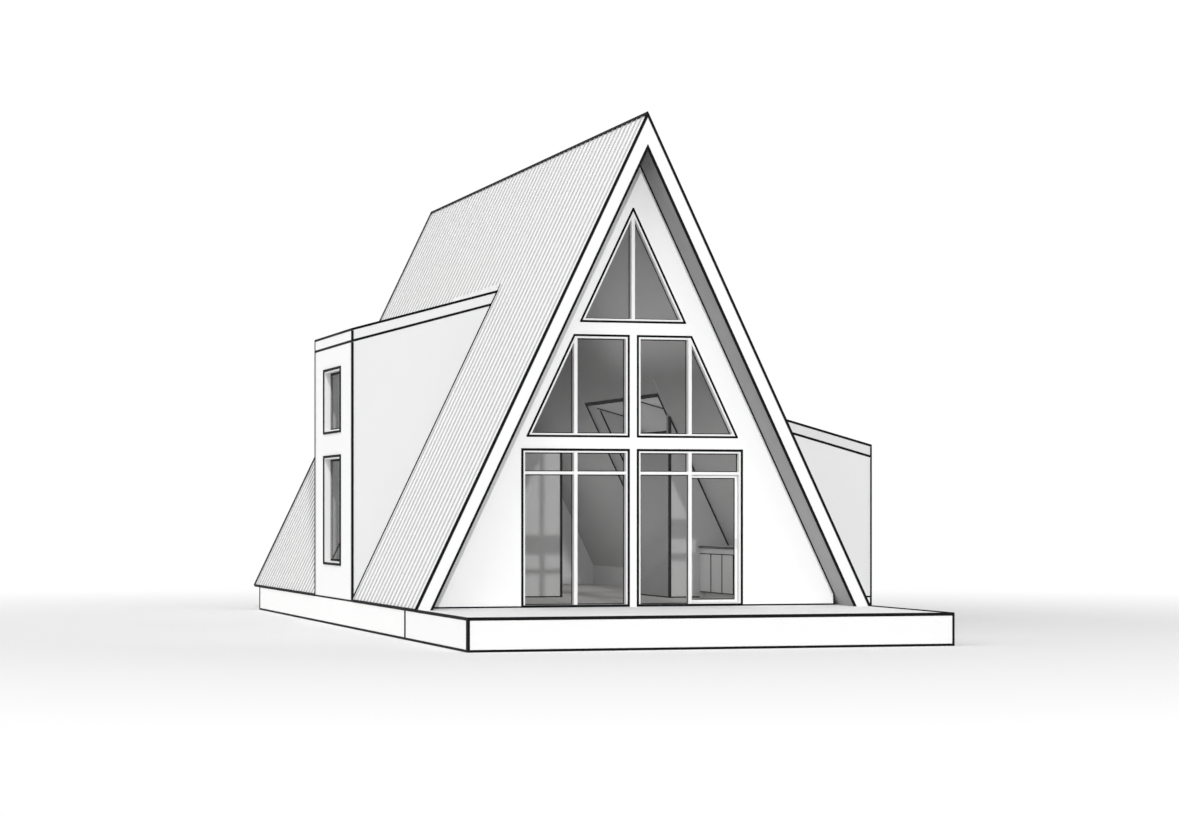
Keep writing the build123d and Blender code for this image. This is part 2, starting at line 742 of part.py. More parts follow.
with BuildPart() as rear_glass:
    with BuildSketch(across(house_length - glass_setback - glass_thickness)) as rear_glass_section:
        add(raked_lights.sketch)
        for centre in (-unit_x, unit_x):
            with Locations((centre - light_x, rear_light_low), (centre + light_x, rear_light_low)):
                Rectangle(light_width, light_top - rear_light_low, align=(Align.CENTER, Align.MIN))
    extrude(amount=-glass_thickness)
rear_glass.part.label = "rear_glass"
export_step(rear_glass.part, "parts/rear_glass.step")

# frames and glass of the wings' outer walls
with BuildPart() as wing_window_frames:
    for name, (side, side_x, height, front, rear) in wings.items():
        for sill, window_height in wing_windows[name]:
            with BuildSketch(Plane.YZ.offset(side * side_x)) as wing_frame_section:
                with Locations((window_y, floor_z + sill + window_height / 2)):
                    Rectangle(wing_window_width, window_height)
                    Rectangle(
                        wing_window_width - 2 * frame_face,
                        window_height - 2 * frame_face,
                        mode=Mode.SUBTRACT,
                    )
            extrude(amount=-side * frame_depth)
wing_window_frames.part.label = "wing_window_frames"
export_step(wing_window_frames.part, "parts/wing_window_frames.step")

with BuildPart() as wing_glass:
    for name, (side, side_x, height, front, rear) in wings.items():
        for sill, window_height in wing_windows[name]:
            with BuildSketch(Plane.YZ.offset(side * (side_x - glass_setback))) as wing_light:
                with Locations((window_y, floor_z + sill + window_height / 2)):
                    Rectangle(wing_window_width - 2 * frame_face, window_height - 2 * frame_face)
            extrude(amount=-side * glass_thickness)
wing_glass.part.label = "wing_glass"
export_step(wing_glass.part, "parts/wing_glass.step")

# =====================================================================
# Partitions and kitchen seen through the lower windows
# =====================================================================
# the kitchen's partition stands in line with the right wing's front wall and runs up to
# the slope; the room wall runs from the left wing's outer wall to past the middle
room_wall_front = wing_front + wing_window_start - room_wall_margin - wall_thickness
with BuildPart() as room_partitions:
    with BuildSketch(across(wing_front)) as partition_section:
        Polygon(
            (partition_edge, floor_z),
            (partition_edge, roof_z(partition_edge, roof_thickness)),
            (knee_face, roof_z(knee_face, roof_thickness)),
            (knee_face, floor_z),
            align=None,
        )
    extrude(amount=-wall_thickness)
    with BuildSketch(across(room_wall_front)) as room_wall_section:
        with Locations((room_wall_edge, floor_z)):
            Rectangle(
                room_wall_edge + left_side - wall_thickness,
                room_wall_height,
                align=(Align.MAX, Align.MIN),
            )
    extrude(amount=-wall_thickness)
room_partitions.part.label = "room_partitions"
export_step(room_partitions.part, "parts/room_partitions.step")

# base units against the knee wall, their backs following the slope
unit_run = base_unit_width * base_unit_count
unit_start = wing_front - unit_run
carcass_front = unit_front + unit_door_thickness
carcass_top = floor_z + worktop_height - worktop_thickness
with BuildPart() as kitchen_units:
    with BuildSketch(across(unit_start)) as carcass_section:
        with BuildLine():
            Polyline(
                (carcass_front + plinth_recess, floor_z),
                (carcass_front + plinth_recess, floor_z + plinth_height),
                (carcass_front, floor_z + plinth_height),
                (carcass_front, carcass_top),
                (roof_x(carcass_top, roof_thickness), carcass_top),
                (knee_inner, roof_z(knee_inner, roof_thickness)),
                (knee_inner, floor_z),
                close=True,
            )
        make_face()
    extrude(amount=-unit_run)
kitchen_units.part.label = "kitchen_units"
export_step(kitchen_units.part, "parts/kitchen_units.step")

with BuildPart() as kitchen_doors:
    door_low = floor_z + plinth_height
    door_high = carcass_top - rail_strip
    with BuildSketch(Plane.YZ.offset(unit_front)) as unit_door_section:
        with Locations((unit_start + unit_run / 2, (door_low + door_high) / 2)):
            with GridLocations(base_unit_width, 1, base_unit_count, 1):
                Rectangle(base_unit_width - unit_door_gap, door_high - door_low)
    extrude(amount=unit_door_thickness)
kitchen_doors.part.label = "kitchen_doors"
export_step(kitchen_doors.part, "parts/kitchen_doors.step")

worktop_top = floor_z + worktop_height
with BuildPart() as kitchen_worktop:
    with BuildSketch(across(unit_start - worktop_overhang)) as worktop_section:
        Polygon(
            (unit_front - worktop_overhang, carcass_top),
            (unit_front - worktop_overhang, worktop_top),
            (roof_x(worktop_top, roof_thickness), worktop_top),
            (roof_x(carcass_top, roof_thickness), carcass_top),
            align=None,
        )
    extrude(amount=-(unit_run + worktop_overhang))
kitchen_worktop.part.label = "kitchen_worktop"
export_step(kitchen_worktop.part, "parts/kitchen_worktop.step")
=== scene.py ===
"""Finishes, fine trim and studio for the a-frame cabin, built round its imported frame.

Metres.  X runs to the right seen from the front, Y from the front wall to the rear, Z up.
"""

import json
import logging
import math
from collections.abc import Callable, Iterator, Sequence
from contextlib import contextmanager
from dataclasses import dataclass
from enum import Enum

import bmesh
import bpy
from bpy.types import Material, Node, NodeSocket, NodeTree, Object
from mathutils import Matrix, Vector

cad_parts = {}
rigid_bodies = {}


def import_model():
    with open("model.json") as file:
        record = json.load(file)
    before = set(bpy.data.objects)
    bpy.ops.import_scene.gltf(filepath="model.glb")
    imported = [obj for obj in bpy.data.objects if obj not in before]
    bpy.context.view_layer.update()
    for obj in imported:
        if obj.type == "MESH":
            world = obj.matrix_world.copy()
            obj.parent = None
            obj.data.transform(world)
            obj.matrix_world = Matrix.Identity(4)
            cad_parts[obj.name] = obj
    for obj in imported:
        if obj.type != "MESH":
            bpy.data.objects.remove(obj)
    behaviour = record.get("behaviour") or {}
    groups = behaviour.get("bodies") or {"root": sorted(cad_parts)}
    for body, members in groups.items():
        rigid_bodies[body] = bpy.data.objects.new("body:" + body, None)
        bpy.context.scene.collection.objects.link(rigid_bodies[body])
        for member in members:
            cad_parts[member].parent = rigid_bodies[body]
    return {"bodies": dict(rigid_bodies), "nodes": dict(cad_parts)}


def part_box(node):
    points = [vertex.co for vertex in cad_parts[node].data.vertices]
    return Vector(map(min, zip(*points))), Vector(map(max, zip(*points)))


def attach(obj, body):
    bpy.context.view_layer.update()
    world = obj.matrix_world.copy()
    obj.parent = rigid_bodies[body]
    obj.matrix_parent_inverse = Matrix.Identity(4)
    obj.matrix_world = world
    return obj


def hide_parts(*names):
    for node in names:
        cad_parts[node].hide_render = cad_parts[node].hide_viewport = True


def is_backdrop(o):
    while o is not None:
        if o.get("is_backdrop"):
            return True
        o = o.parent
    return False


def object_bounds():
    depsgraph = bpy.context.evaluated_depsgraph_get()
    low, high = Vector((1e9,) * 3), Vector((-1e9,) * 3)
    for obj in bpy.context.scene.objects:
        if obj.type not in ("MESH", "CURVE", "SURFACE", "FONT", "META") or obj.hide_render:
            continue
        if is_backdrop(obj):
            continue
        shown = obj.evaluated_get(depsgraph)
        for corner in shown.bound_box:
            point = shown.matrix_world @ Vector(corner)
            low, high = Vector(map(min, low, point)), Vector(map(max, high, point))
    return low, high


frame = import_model()

LOG = logging.getLogger("cabin")
Colour = tuple[float, float, float]
Tone = Colour | NodeSocket
Point = Sequence[float]
Box = tuple[Vector, Vector]

SKIN = 1e-5  # two corners nearer than this are one
SHEET = 0.005  # thickness of the dark metal
PROUD = SHEET / 2  # how far its middle line stands out of a face
LIFT = 0.001  # smallest gap, as under strips that stand on a floor


class Body(Enum):
    """The moving bodies of the cabin."""

    HOUSE = "house"
    LEAF = "door_leaf"


class Slot(Enum):
    """The record's material slots, one of which is passed with each new piece."""

    WALL_PAINT = "wall_paint"
    DARK_TRIM = "dark_trim"
    DECK_GREY = "deck_grey"
    FRAME_PAINT = "frame_paint"
    ROOF_SHEET = "roof_sheet"


class Part(Enum):
    """What a selection picks."""

    CORNERS = "VERT"
    EDGES = "EDGE"
    FACES = "FACE"


# Shader arithmetic


def maths_method(operation: str, swapped: bool = False) -> Callable[..., "Value"]:
    """Makes a method of Value that adds a Math node.

    Args:
        operation: the node's operation.
        swapped: whether the value itself is the node's last term.

    Returns:
        The method.
    """

    def method(self: "Value", *others: "Value | float") -> "Value":
        """The node's result for this value and the others."""
        terms = (*others, self) if swapped else (self, *others)
        return self.graph.maths(operation, *terms)

    return method


class Value:
    """A number that varies over a surface; arithmetic on it adds Math nodes."""

    def __init__(self, graph: "Graph", socket: NodeSocket) -> None:
        """Wraps one output socket of a graph."""
        self.graph = graph
        self.socket = socket

    __add__ = __radd__ = maths_method("ADD")
    __sub__ = maths_method("SUBTRACT")
    __rsub__ = maths_method("SUBTRACT", swapped=True)
    __mul__ = __rmul__ = maths_method("MULTIPLY")
    __truediv__ = maths_method("DIVIDE")
    __lt__ = maths_method("LESS_THAN")
    __gt__ = maths_method("GREATER_THAN")
    __abs__ = maths_method("ABSOLUTE")
    floor = maths_method("FLOOR")
    fraction = maths_method("FRACT")
    larger = maths_method("MAXIMUM")
    smaller = maths_method("MINIMUM")


def add_node(
    tree: NodeTree, kind: str, inputs: dict | None = None, **settings
) -> Node:
    """Adds a node to a tree.

    Args:
        tree: the tree.
        kind: the node's type name.
        inputs: socket names or numbers with what feeds them.
        **settings: the node's own properties.

    Returns:
        The new node.
    """
    new = tree.nodes.new(kind)
    for key, setting in settings.items():
        setattr(new, key, setting)
    for key, source in (inputs or {}).items():
        source = getattr(source, "socket", source)
        if isinstance(source, NodeSocket):
            tree.links.new(source, new.inputs[key])
        else:
            new.inputs[key].default_value = source
    return new


class Graph:
    """One material's nodes, ending in a Principled shader."""

    def __init__(self, name: str) -> None:
        """Starts an empty material of a name."""
        self.material = bpy.data.materials.new(name)
        self.material.use_nodes = True
        self.material.node_tree.nodes.clear()
        self.place = self.node("ShaderNodeTexCoord").outputs["Object"]
        axes = self.node("ShaderNodeSeparateXYZ", {0: self.place})
        self.x, self.y, self.z = (Value(self, out) for out in axes.outputs)

    def node(self, kind: str, inputs: dict | None = None, **settings) -> Node:
        """Adds a node, as add_node does."""
        return add_node(self.material.node_tree, kind, inputs, **settings)

    def maths(self, operation: str, *terms: Value | float) -> Value:
        """The result of a Math node on some terms."""
        new = self.node("ShaderNodeMath", dict(enumerate(terms)), operation=operation)
        return Value(self, new.outputs[0])

    def noise(self, scale: float | Point, detail: float = 3.0) -> Value:
        """Cloudy noise between 0 and 1, with one scale in waves to the metre or one an axis."""
        place = self.place
        if isinstance(scale, Sequence):
            stretch = {0: place, 1: tuple(scale)}
            place = self.node("ShaderNodeVectorMath", stretch, operation="MULTIPLY").outputs[0]
            scale = 1.0
        new = self.node("ShaderNodeTexNoise", {"Vector": place, "Scale": scale, "Detail": detail})
        return Value(self, new.outputs[0])

    def chance(self, number: Value) -> Value:
        """A random number between 0 and 1 for each whole number."""
        new = self.node("ShaderNodeTexWhiteNoise", {"W": number}, noise_dimensions="1D")
        return Value(self, new.outputs[0])

    def blend(self, mask: Value, low: Tone, high: Tone) -> NodeSocket:
        """A colour between two, as a mask goes from 0 to 1."""
        ends = [c if isinstance(c, NodeSocket) else (*c, 1.0) for c in (low, high)]
        sources = {0: mask, 6: ends[0], 7: ends[1]}
        return self.node("ShaderNodeMix", sources, data_type="RGBA", clamp_factor=True).outputs[2]

    def varied(
        self, mask: Value, colour: Colour, low: float, high: float = 1.0
    ) -> NodeSocket:
        """A colour times a factor that goes from low to high with a mask."""
        return self.blend(mask, shade(colour, low), shade(colour, high))

    def tinted(self, colour: NodeSocket, factor: Value) -> NodeSocket:
        """A colour made darker all over by a value."""
        sources = {0: colour, "Scale": factor}
        return self.node("ShaderNodeVectorMath", sources, operation="SCALE").outputs[0]

    def under_slopes(self) -> Value:
        """1 on and below the roof slopes' inner faces, elsewhere 0."""
        below = (LINES.ridge - self.z - abs(self.x) * LINES.fall) * LINES.lean[0]
        return below > LINES.slab - 0.002

    def relief(self, height: Value, depth: float) -> NodeSocket:
        """A normal that follows a height between 0 and 1, depth metres high."""
        return self.node("ShaderNodeBump", {"Height": height, "Distance": depth}).outputs[0]

    def shader(self, **inputs) -> Material:
        """Closes the material with a Principled shader.

        Args:
            **inputs: socket names, with _ for spaces, and what feeds them.

        Returns:
            The finished material.
        """
        named = {key.replace("_", " "): source for key, source in inputs.items()}
        surface = self.node("ShaderNodeBsdfPrincipled", named)
        self.node("ShaderNodeOutputMaterial", {"Surface": surface.outputs[0]})
        return self.material


def shade(colour: Colour, factor: float) -> Colour:
    """A colour made lighter or darker by a factor."""
    return tuple(min(1.0, part * factor) for part in colour)


def grey(tone: float) -> Colour:
    """A neutral colour."""
    return (tone, tone, tone)


# Finishes


@dataclass(frozen=True)
class Finish:
    """What every finish has: a name, a colour and a roughness."""

    name: str
    colour: Colour
    roughness: float

    def material(self) -> Material:
        """The finish's material, made when it is first asked for."""
        return bpy.data.materials.get(self.name) or self.mix(Graph(self.name))

    def mix(self, graph: Graph) -> Material:
        """Builds the material in a new graph."""
        raise NotImplementedError


@dataclass(frozen=True)
class Render(Finish):
    """Painted masonry render: a sandy grain with faint trowelled clouds."""

    grain: float = 0.0012
    clouding: float = 0.035

    def mix(self, graph: Graph) -> Material:
        """Builds the material."""
        sand = graph.noise(160.0, 4.0)
        mask = graph.noise(0.9, 5.0) * 0.75 + sand * 0.25
        return graph.shader(
            Base_Color=graph.varied(mask, self.colour, 1 - self.clouding),
            Roughness=self.roughness + 0.1 * sand,
            Normal=graph.relief(sand + 0.6 * graph.noise(14.0), self.grain),
        )


@dataclass(frozen=True)
class PaintedPanel(Finish):
    """Rolled paint on smooth panels, with a faint stipple and slow changes of tone."""

    inside: Colour | None = None
    stipple: float = 0.0006
    clouding: float = 0.02

    def mix(self, graph: Graph) -> Material:
        """Builds the material."""
        rolled = graph.noise(240.0, 2.0)
        tone = graph.varied(graph.noise(0.45, 4.0), self.colour, 1 - self.clouding)
        if self.inside:
            tone = graph.blend(graph.under_slopes(), tone, self.inside)
        return graph.shader(
            Base_Color=tone,
            Roughness=self.roughness + 0.12 * rolled,
            Normal=graph.relief(rolled, self.stipple),
        )


@dataclass(frozen=True)
class PaintedWood(Finish):
    """Painted timber, brushed along its length, with another tone on its front face; the palette
    uses it as painted shade, a darker copy of the paint.
    """

    along: Point = (1.0, 0.0, 0.0)
    front: float | None = None
    front_painted_shade: Colour = grey(0.80)
    contrast: float = 0.05

    def mix(self, graph: Graph) -> Material:
        """Builds the material."""
        fibres = graph.noise([4.0 if part else 90.0 for part in self.along], 4.0)
        grain = fibres * 0.6 + graph.noise(0.8, 3.0) * 0.4
        tone = graph.varied(grain, self.colour, 1 - self.contrast)
        if self.front is not None:
            # Painted shade: the face at the front Y takes the darker front colour instead of the
            # paint's own.
            facing = graph.varied(grain, self.front_painted_shade, 1 - self.contrast)
            tone = graph.blend(graph.y < self.front + 0.003, tone, facing)
        return graph.shader(
            Base_Color=tone,
            Roughness=self.roughness + 0.15 * fibres,
            Normal=graph.relief(fibres, 0.0008),
        )


@dataclass(frozen=True)
class LinedBoards(Finish):
    """Painted lining boards with shadow joints: a darker grey outside the house under the
    overhangs, which is painted shade, and a lighter grey inside the house.
    """

    inside: Colour
    board: float = 0.14
    joint: float = 0.006
    joint_tone: float = 0.72

    def mix(self, graph: Graph) -> Material:
        """Builds the material."""
        rows = graph.y / self.board
        edge = abs(rows.fraction() - 0.5) * self.board > (self.board - self.joint) / 2
        fibres = graph.noise((3.0, 80.0, 3.0), 4.0)
        middle = LINES.house_end / 2
        # Painted shade: the soffits under the overhangs take the darker colour, the lining inside
        # the house the lighter one.
        paint = graph.blend(abs(graph.y - middle) < middle, self.colour, self.inside)
        tint = (graph.chance(rows.floor()) * 0.6 + fibres * 0.4) * 0.04 + 0.96
        return graph.shader(
            Base_Color=graph.tinted(paint, tint - (1.0 - self.joint_tone) * edge),
            Roughness=self.roughness + 0.12 * fibres,
            Normal=graph.relief(1.0 - edge + 0.05 * fibres, 0.003),
        )


@dataclass(frozen=True)
class SeamedSheet(Finish):
    """Coated roofing sheet whose standing seams, tops and sides, are coloured a darker grey:
    painted shade.
    """

    start: float
    pitch: float
    seam: float = 0.022
    seam_painted_shade: Colour = grey(0.42)

    def mix(self, graph: Graph) -> Material:
        """Builds the material."""
        bays = (graph.y - (self.start + self.seam / 2)) / self.pitch + 0.5
        # Painted shade: the mask covers each seam and a little beyond, so its sides take the dark
        # grey.
        folded = abs(bays.fraction() - 0.5) * self.pitch < self.seam / 2 + 0.0015
        oilcan = graph.noise((0.5, 2.6, 0.5), 2.0)
        specks = graph.noise(420.0, 2.0)
        pan = graph.varied(graph.chance(bays.floor()) * 0.6 + oilcan * 0.4, self.colour, 0.965)
        return graph.shader(
            Base_Color=graph.blend(folded, pan, self.seam_painted_shade),
            Roughness=self.roughness + 0.1 * oilcan + 0.05 * specks,
            Normal=graph.relief(oilcan * 0.9 + specks * 0.02, 0.003),
            Coat_Weight=0.15,
        )


@dataclass(frozen=True)
class Membrane(Finish):
    """Pale roofing membrane laid in strips, lapped and welded."""

    inside: Colour
    strip: float = 1.05
    lap: float = 0.05

    def mix(self, graph: Graph) -> Material:
        """Builds the material."""
        lapped = ((graph.y / self.strip).fraction() * self.strip) < self.lap
        clouds = graph.noise(1.4, 5.0)
        sheet = graph.varied(clouds, self.colour, 0.93)
        tone = graph.blend(lapped, sheet, shade(self.colour, 0.88))
        return graph.shader(
            Base_Color=graph.blend(graph.under_slopes(), tone, self.inside),
            Roughness=self.roughness + 0.15 * clouds,
            Normal=graph.relief(lapped * 0.8 + 0.15 * graph.noise(300.0, 2.0), 0.002),
        )


@dataclass(frozen=True)
class PlankFloor(Finish):
    """Floor boards from front to rear, each with its own tone and grain."""

    plank: float = 0.18
    length: float = 2.1
    joint: float = 0.004

    def mix(self, graph: Graph) -> Material:
        """Builds the material."""
        rows = graph.x / self.plank
        row = rows.floor()
        runs = graph.y / self.length + graph.chance(row)
        tone = graph.chance(row * 7.0 + runs.floor() * 13.0)
        fibres = graph.noise((70.0, 3.0, 70.0), 5.0)
        wood = graph.varied(tone * 0.6 + fibres * 0.4, self.colour, 0.78)
        side = abs(rows.fraction() - 0.5) * self.plank > (self.plank - self.joint) / 2
        end = abs(runs.fraction() - 0.5) * self.length > (self.length - self.joint) / 2
        gap = side.larger(end)
        return graph.shader(
            Base_Color=graph.blend(gap, wood, shade(self.colour, 0.35)),
            Roughness=self.roughness + 0.2 * fibres,
            Normal=graph.relief(1.0 - gap + 0.06 * fibres, 0.0015),
            Coat_Weight=0.1,
        )


@dataclass(frozen=True)
class DeckPlank(Finish):
    """Pale weathered deck boards laid across the house, each a little different."""

    start: float
    pitch: float

    def mix(self, graph: Graph) -> Material:
        """Builds the material."""
        board = ((graph.y - self.start) / self.pitch).floor()
        fibres = graph.noise((2.5, 110.0, 110.0), 5.0)
        streaks = graph.noise((0.7, 16.0, 16.0), 3.0)
        mask = graph.chance(board) * 0.4 + fibres * 0.35 + streaks * 0.25
        return graph.shader(
            Base_Color=graph.varied(mask, self.colour, 0.90),
            Roughness=self.roughness + 0.2 * fibres,
            Normal=graph.relief(fibres, 0.0012),
        )


@dataclass(frozen=True)
class CoatedMetal(Finish):
    """Powder-coated sheet metal with a fine texture."""

    gloss: float = 0.5
    texture: float = 0.0003

    def mix(self, graph: Graph) -> Material:
        """Builds the material."""
        powder = graph.noise(600.0, 2.0)
        return graph.shader(
            Base_Color=graph.varied(graph.noise(3.0, 4.0), self.colour, 0.8, 1.2),
            Roughness=self.roughness + 0.2 * powder,
            Normal=graph.relief(powder, self.texture),
            Specular_IOR_Level=self.gloss,
        )


@dataclass(frozen=True)
class TintedGlass(Finish):
    """Clear double glazing with a neutral grey tint that veils what lies behind it."""

    veil: float = 0.16

    def mix(self, graph: Graph) -> Material:
        """Builds the material."""
        dust = graph.noise(2.5, 5.0)
        return graph.shader(
            Base_Color=graph.varied(dust, self.colour, 0.96),
            Roughness=self.roughness + 0.04 * dust,
            Alpha=self.veil - 0.02 + 0.04 * dust,
        )


@dataclass(frozen=True)
class Laminate(Finish):
    """Matt laminate on the kitchen's units, with dark edge strips at the doors' joints."""

    start: float
    unit: float = 0.61
    edging: float = 0.022
    edge_colour: Colour = grey(0.05)

    def mix(self, graph: Graph) -> Material:
        """Builds the material."""
        units = (graph.y - self.start) / self.unit + 0.5
        edge = abs(units.fraction() - 0.5) * self.unit < self.edging
        fleck = graph.noise(350.0, 2.0)
        face = graph.varied(fleck, self.colour, 0.94)
        return graph.shader(
            Base_Color=graph.blend(edge, face, self.edge_colour),
            Roughness=self.roughness + 0.1 * fleck,
            Normal=graph.relief(fleck, 0.0002),
        )


@dataclass(frozen=True)
class HonedStone(Finish):
    """Honed stone with soft veins."""

    def mix(self, graph: Graph) -> Material:
        """Builds the material."""
        cloud = graph.noise(3.0, 6.0)
        vein = abs(cloud - 0.5) < 0.012
        tone = graph.varied(cloud, self.colour, 0.85)
        return graph.shader(
            Base_Color=graph.blend(vein * 0.5, tone, shade(self.colour, 0.6)),
            Roughness=self.roughness + 0.1 * cloud,
            Normal=graph.relief(cloud, 0.0003),
        )


# Modelling


def alone(made: Object) -> None:
    """Leaves one object selected and active."""
    bpy.ops.object.select_all(action="DESELECT")
    made.select_set(True)
    bpy.context.view_layer.objects.active = made


@contextmanager
def editing(made: Object, part: Part = Part.FACES) -> Iterator[None]:
    """Edit mode on one object, with all of it selected at the start.

    Args:
        made: the object.
        part: what its selections pick.
    """
    alone(made)
    bpy.ops.object.mode_set(mode="EDIT")
    bpy.ops.mesh.select_mode(type=part.value)
    bpy.ops.mesh.select_all(action="SELECT")
    try:
        yield
    finally:
        bpy.ops.object.mode_set(mode="OBJECT")


def turned_outwards() -> None:
    """Selects the whole mesh in edit mode and turns its faces outwards."""
    bpy.ops.mesh.select_all(action="SELECT")
    bpy.ops.mesh.normals_make_consistent(inside=False)


class Piece:
    """A new piece of the cabin, worked up from a primitive at its place."""

    def __init__(self, made: Object) -> None:
        """Takes an object that has just been made and applies its place and scale."""
        self.made = made
        alone(made)
        bpy.ops.object.transform_apply(location=True, rotation=True, scale=True)

    @classmethod
    def block(cls, low: Point, high: Point) -> "Piece":
        """A block between two corners, to be shaped further."""
        low, high = Vector(low), Vector(high)
        bpy.ops.mesh.primitive_cube_add(size=1, location=(low + high) / 2, scale=high - low)
        return cls(bpy.context.object)

    @classmethod
    def panel(cls, low: Vector, high: Vector) -> "Piece":
        """A flat upright panel between two corners that share an X or a Y."""
        size = high - low
        facing_x = abs(size.x) < SKIN
        turn = (math.pi / 2, 0, math.pi / 2 if facing_x else 0)
        bpy.ops.mesh.primitive_plane_add(size=1, location=(low + high) / 2, rotation=turn)
        bpy.context.object.scale = (size.y if facing_x else size.x, size.z, 1)
        return cls(bpy.context.object)

    @classmethod
    def folded(
        cls, profile: Sequence[Point], run: Point, thick: float = SHEET, closed: bool = False
    ) -> "Piece":
        """Sheet metal or a flat strip that follows a profile and runs out one way.

        Args:
            profile: the corners of the profile's middle line.
            run: how far and which way it runs.
            thick: the metal's thickness.
            closed: whether the profile's last corner meets its first.

        Returns:
            The piece.
        """
        bpy.ops.mesh.primitive_plane_add(size=0.01, location=profile[0])
        piece = cls(bpy.context.object)
        corners = [Vector(corner) for corner in profile]
        if closed:
            corners.append(corners[0])
        with editing(piece.made, Part.CORNERS):
            bpy.ops.mesh.merge(type="CENTER")
            for start, end in zip(corners, corners[1:]):
                bpy.ops.mesh.extrude_vertices_move(TRANSFORM_OT_translate={"value": end - start})
            bpy.ops.mesh.select_all(action="SELECT")
            if closed:
                bpy.ops.mesh.remove_doubles(threshold=SKIN)
            bpy.ops.mesh.select_mode(type=Part.EDGES.value)
            bpy.ops.mesh.select_all(action="SELECT")
            bpy.ops.mesh.extrude_edges_move(TRANSFORM_OT_translate={"value": Vector(run)})
            turned_outwards()
        return piece.modify("SOLIDIFY", thickness=thick, offset=0.0, use_even_offset=True)

    @classmethod
    def upright(
        cls,
        plan: Sequence[Point],
        low: float,
        high: float,
        thick: float = SHEET,
        closed: bool = False,
    ) -> "Piece":
        """Sheet metal that stands on a plan, from one height to another.

        Args:
            plan: X and Y of the corners of its middle line.
            low: its foot.
            high: its head.
            thick: its thickness.
            closed: whether the plan's last corner meets its first.

        Returns:
            The piece.
        """
        return cls.folded([(x, y, low) for x, y in plan], (0, 0, high - low), thick, closed)

    @classmethod
    def angle(
        cls, x: float, y: float, way: Point, legs: Point, low: float, high: float
    ) -> "Piece":
        """An upright angle round an outside corner.

        Args:
            x: the corner's X.
            y: the corner's Y.
            way: the corner's outward way in X and Y.
            legs: the angle's width across X and across Y.
            low: its foot.
            high: its head.

        Returns:
            The piece.
        """
        x, y = x + way[0] * PROUD, y + way[1] * PROUD
        plan = [(x - way[0] * legs[0], y), (x, y), (x, y - way[1] * legs[1])]
        return cls.upright(plan, low, high)

    @classmethod
    def from_node(cls, node: str) -> "Piece":
        """A copy of a CAD node's mesh, with its loose triangles merged."""
        made = bpy.data.objects.new("part", frame["nodes"][node].data.copy())
        made.data.materials.clear()
        bpy.context.scene.collection.objects.link(made)
        piece = cls(made)
        with editing(made):
            bpy.ops.mesh.remove_doubles(threshold=SKIN)
            bpy.ops.mesh.dissolve_limited(angle_limit=math.radians(1))
        return piece

    @classmethod
    def gathered(cls, parts: Sequence["Piece"]) -> "Piece":
        """Several like parts as one piece, which the first becomes."""
        whole = parts[0]
        alone(whole.made)
        for part in parts[1:]:
            part.made.select_set(True)
        bpy.ops.object.join()
        return whole

    def modify(self, kind: str, **settings) -> "Piece":
        """Adds a modifier and applies it."""
        alone(self.made)
        modifier = self.made.modifiers.new("shape", kind)
        for key, setting in settings.items():
            setattr(modifier, key, setting)
        bpy.ops.object.modifier_apply(modifier=modifier.name)
        return self

    def pick(self, test: Callable[[Vector], bool]) -> None:
        """Selects the faces whose normal passes a test, in edit mode."""
        mesh = bmesh.from_edit_mesh(self.made.data)
        for face in mesh.faces:
            face.select_set(bool(test(face.normal)))
        bmesh.update_edit_mesh(self.made.data)

    def cut(self, point: Point, normal: Point) -> "Piece":
        """Cuts away all that lies beyond a plane, on the side of its normal."""
        with editing(self.made):
            bpy.ops.mesh.bisect(
                plane_co=point, plane_no=normal, clear_outer=True, use_fill=True, threshold=SKIN
            )
        return self

    def rimmed(self, width: float, push: Vector) -> "Piece":
        """Makes a flat panel a rim of a width, pushed out to a thickness."""
        with editing(self.made):
            bpy.ops.mesh.inset(
                thickness=width, use_even_offset=True, use_boundary=True, use_individual=True
            )
            bpy.ops.mesh.delete(type="FACE")
            bpy.ops.mesh.select_all(action="SELECT")
            bpy.ops.mesh.extrude_region_move(TRANSFORM_OT_translate={"value": push})
            turned_outwards()
        return self

    def facing(self, way: Point) -> "Piece":
        """Keeps only the faces that look one way."""
        with editing(self.made):
            self.pick(lambda normal: normal.dot(Vector(way)) < 0.99)
            bpy.ops.mesh.delete(type="FACE")
            bpy.ops.mesh.select_all(action="SELECT")
            bpy.ops.mesh.dissolve_limited(angle_limit=math.radians(1))
        return self

    def softened(self, width: float = 0.001, segments: int = 1) -> "Piece":
        """Bevels every sharp edge."""
        return self.modify(
            "BEVEL", width=width, segments=segments, limit_method="ANGLE", angle_limit=0.6
        )

    def repeated(self, count: int, step: Point) -> "Piece":
        """Repeats the piece along a step."""
        return self.modify(
            "ARRAY",
            count=count,
            use_relative_offset=False,
            use_constant_offset=True,
            constant_offset_displace=step,
        )

    def finished(
        self,
        name: str,
        slot: Slot,
        finish: Finish,
        body: Body = Body.HOUSE,
        stands_for: Sequence[str] = (),
    ) -> None:
        """Names and dresses the piece, seats it on its body and logs it.

        Args:
            name: its name.
            slot: the record's slot for the piece; not used.
            finish: its finish.
            body: the body that it rides on.
            stands_for: CAD nodes that it replaces.
        """
        self.made.name = self.made.data.name = name
        self.made.data.materials.clear()
        self.made.data.materials.append(finish.material())
        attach(self.made, body.value)
        if stands_for:
            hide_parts(*stands_for)
        LOG.info("%s: %d faces", self.made.name, len(self.made.data.polygons))


def dark(name: str, parts: Sequence[Piece]) -> None:
    """Finishes parts of dark metal as one piece of a name."""
    Piece.gathered(parts).finished(name, Slot.DARK_TRIM, PAINTS.dark)


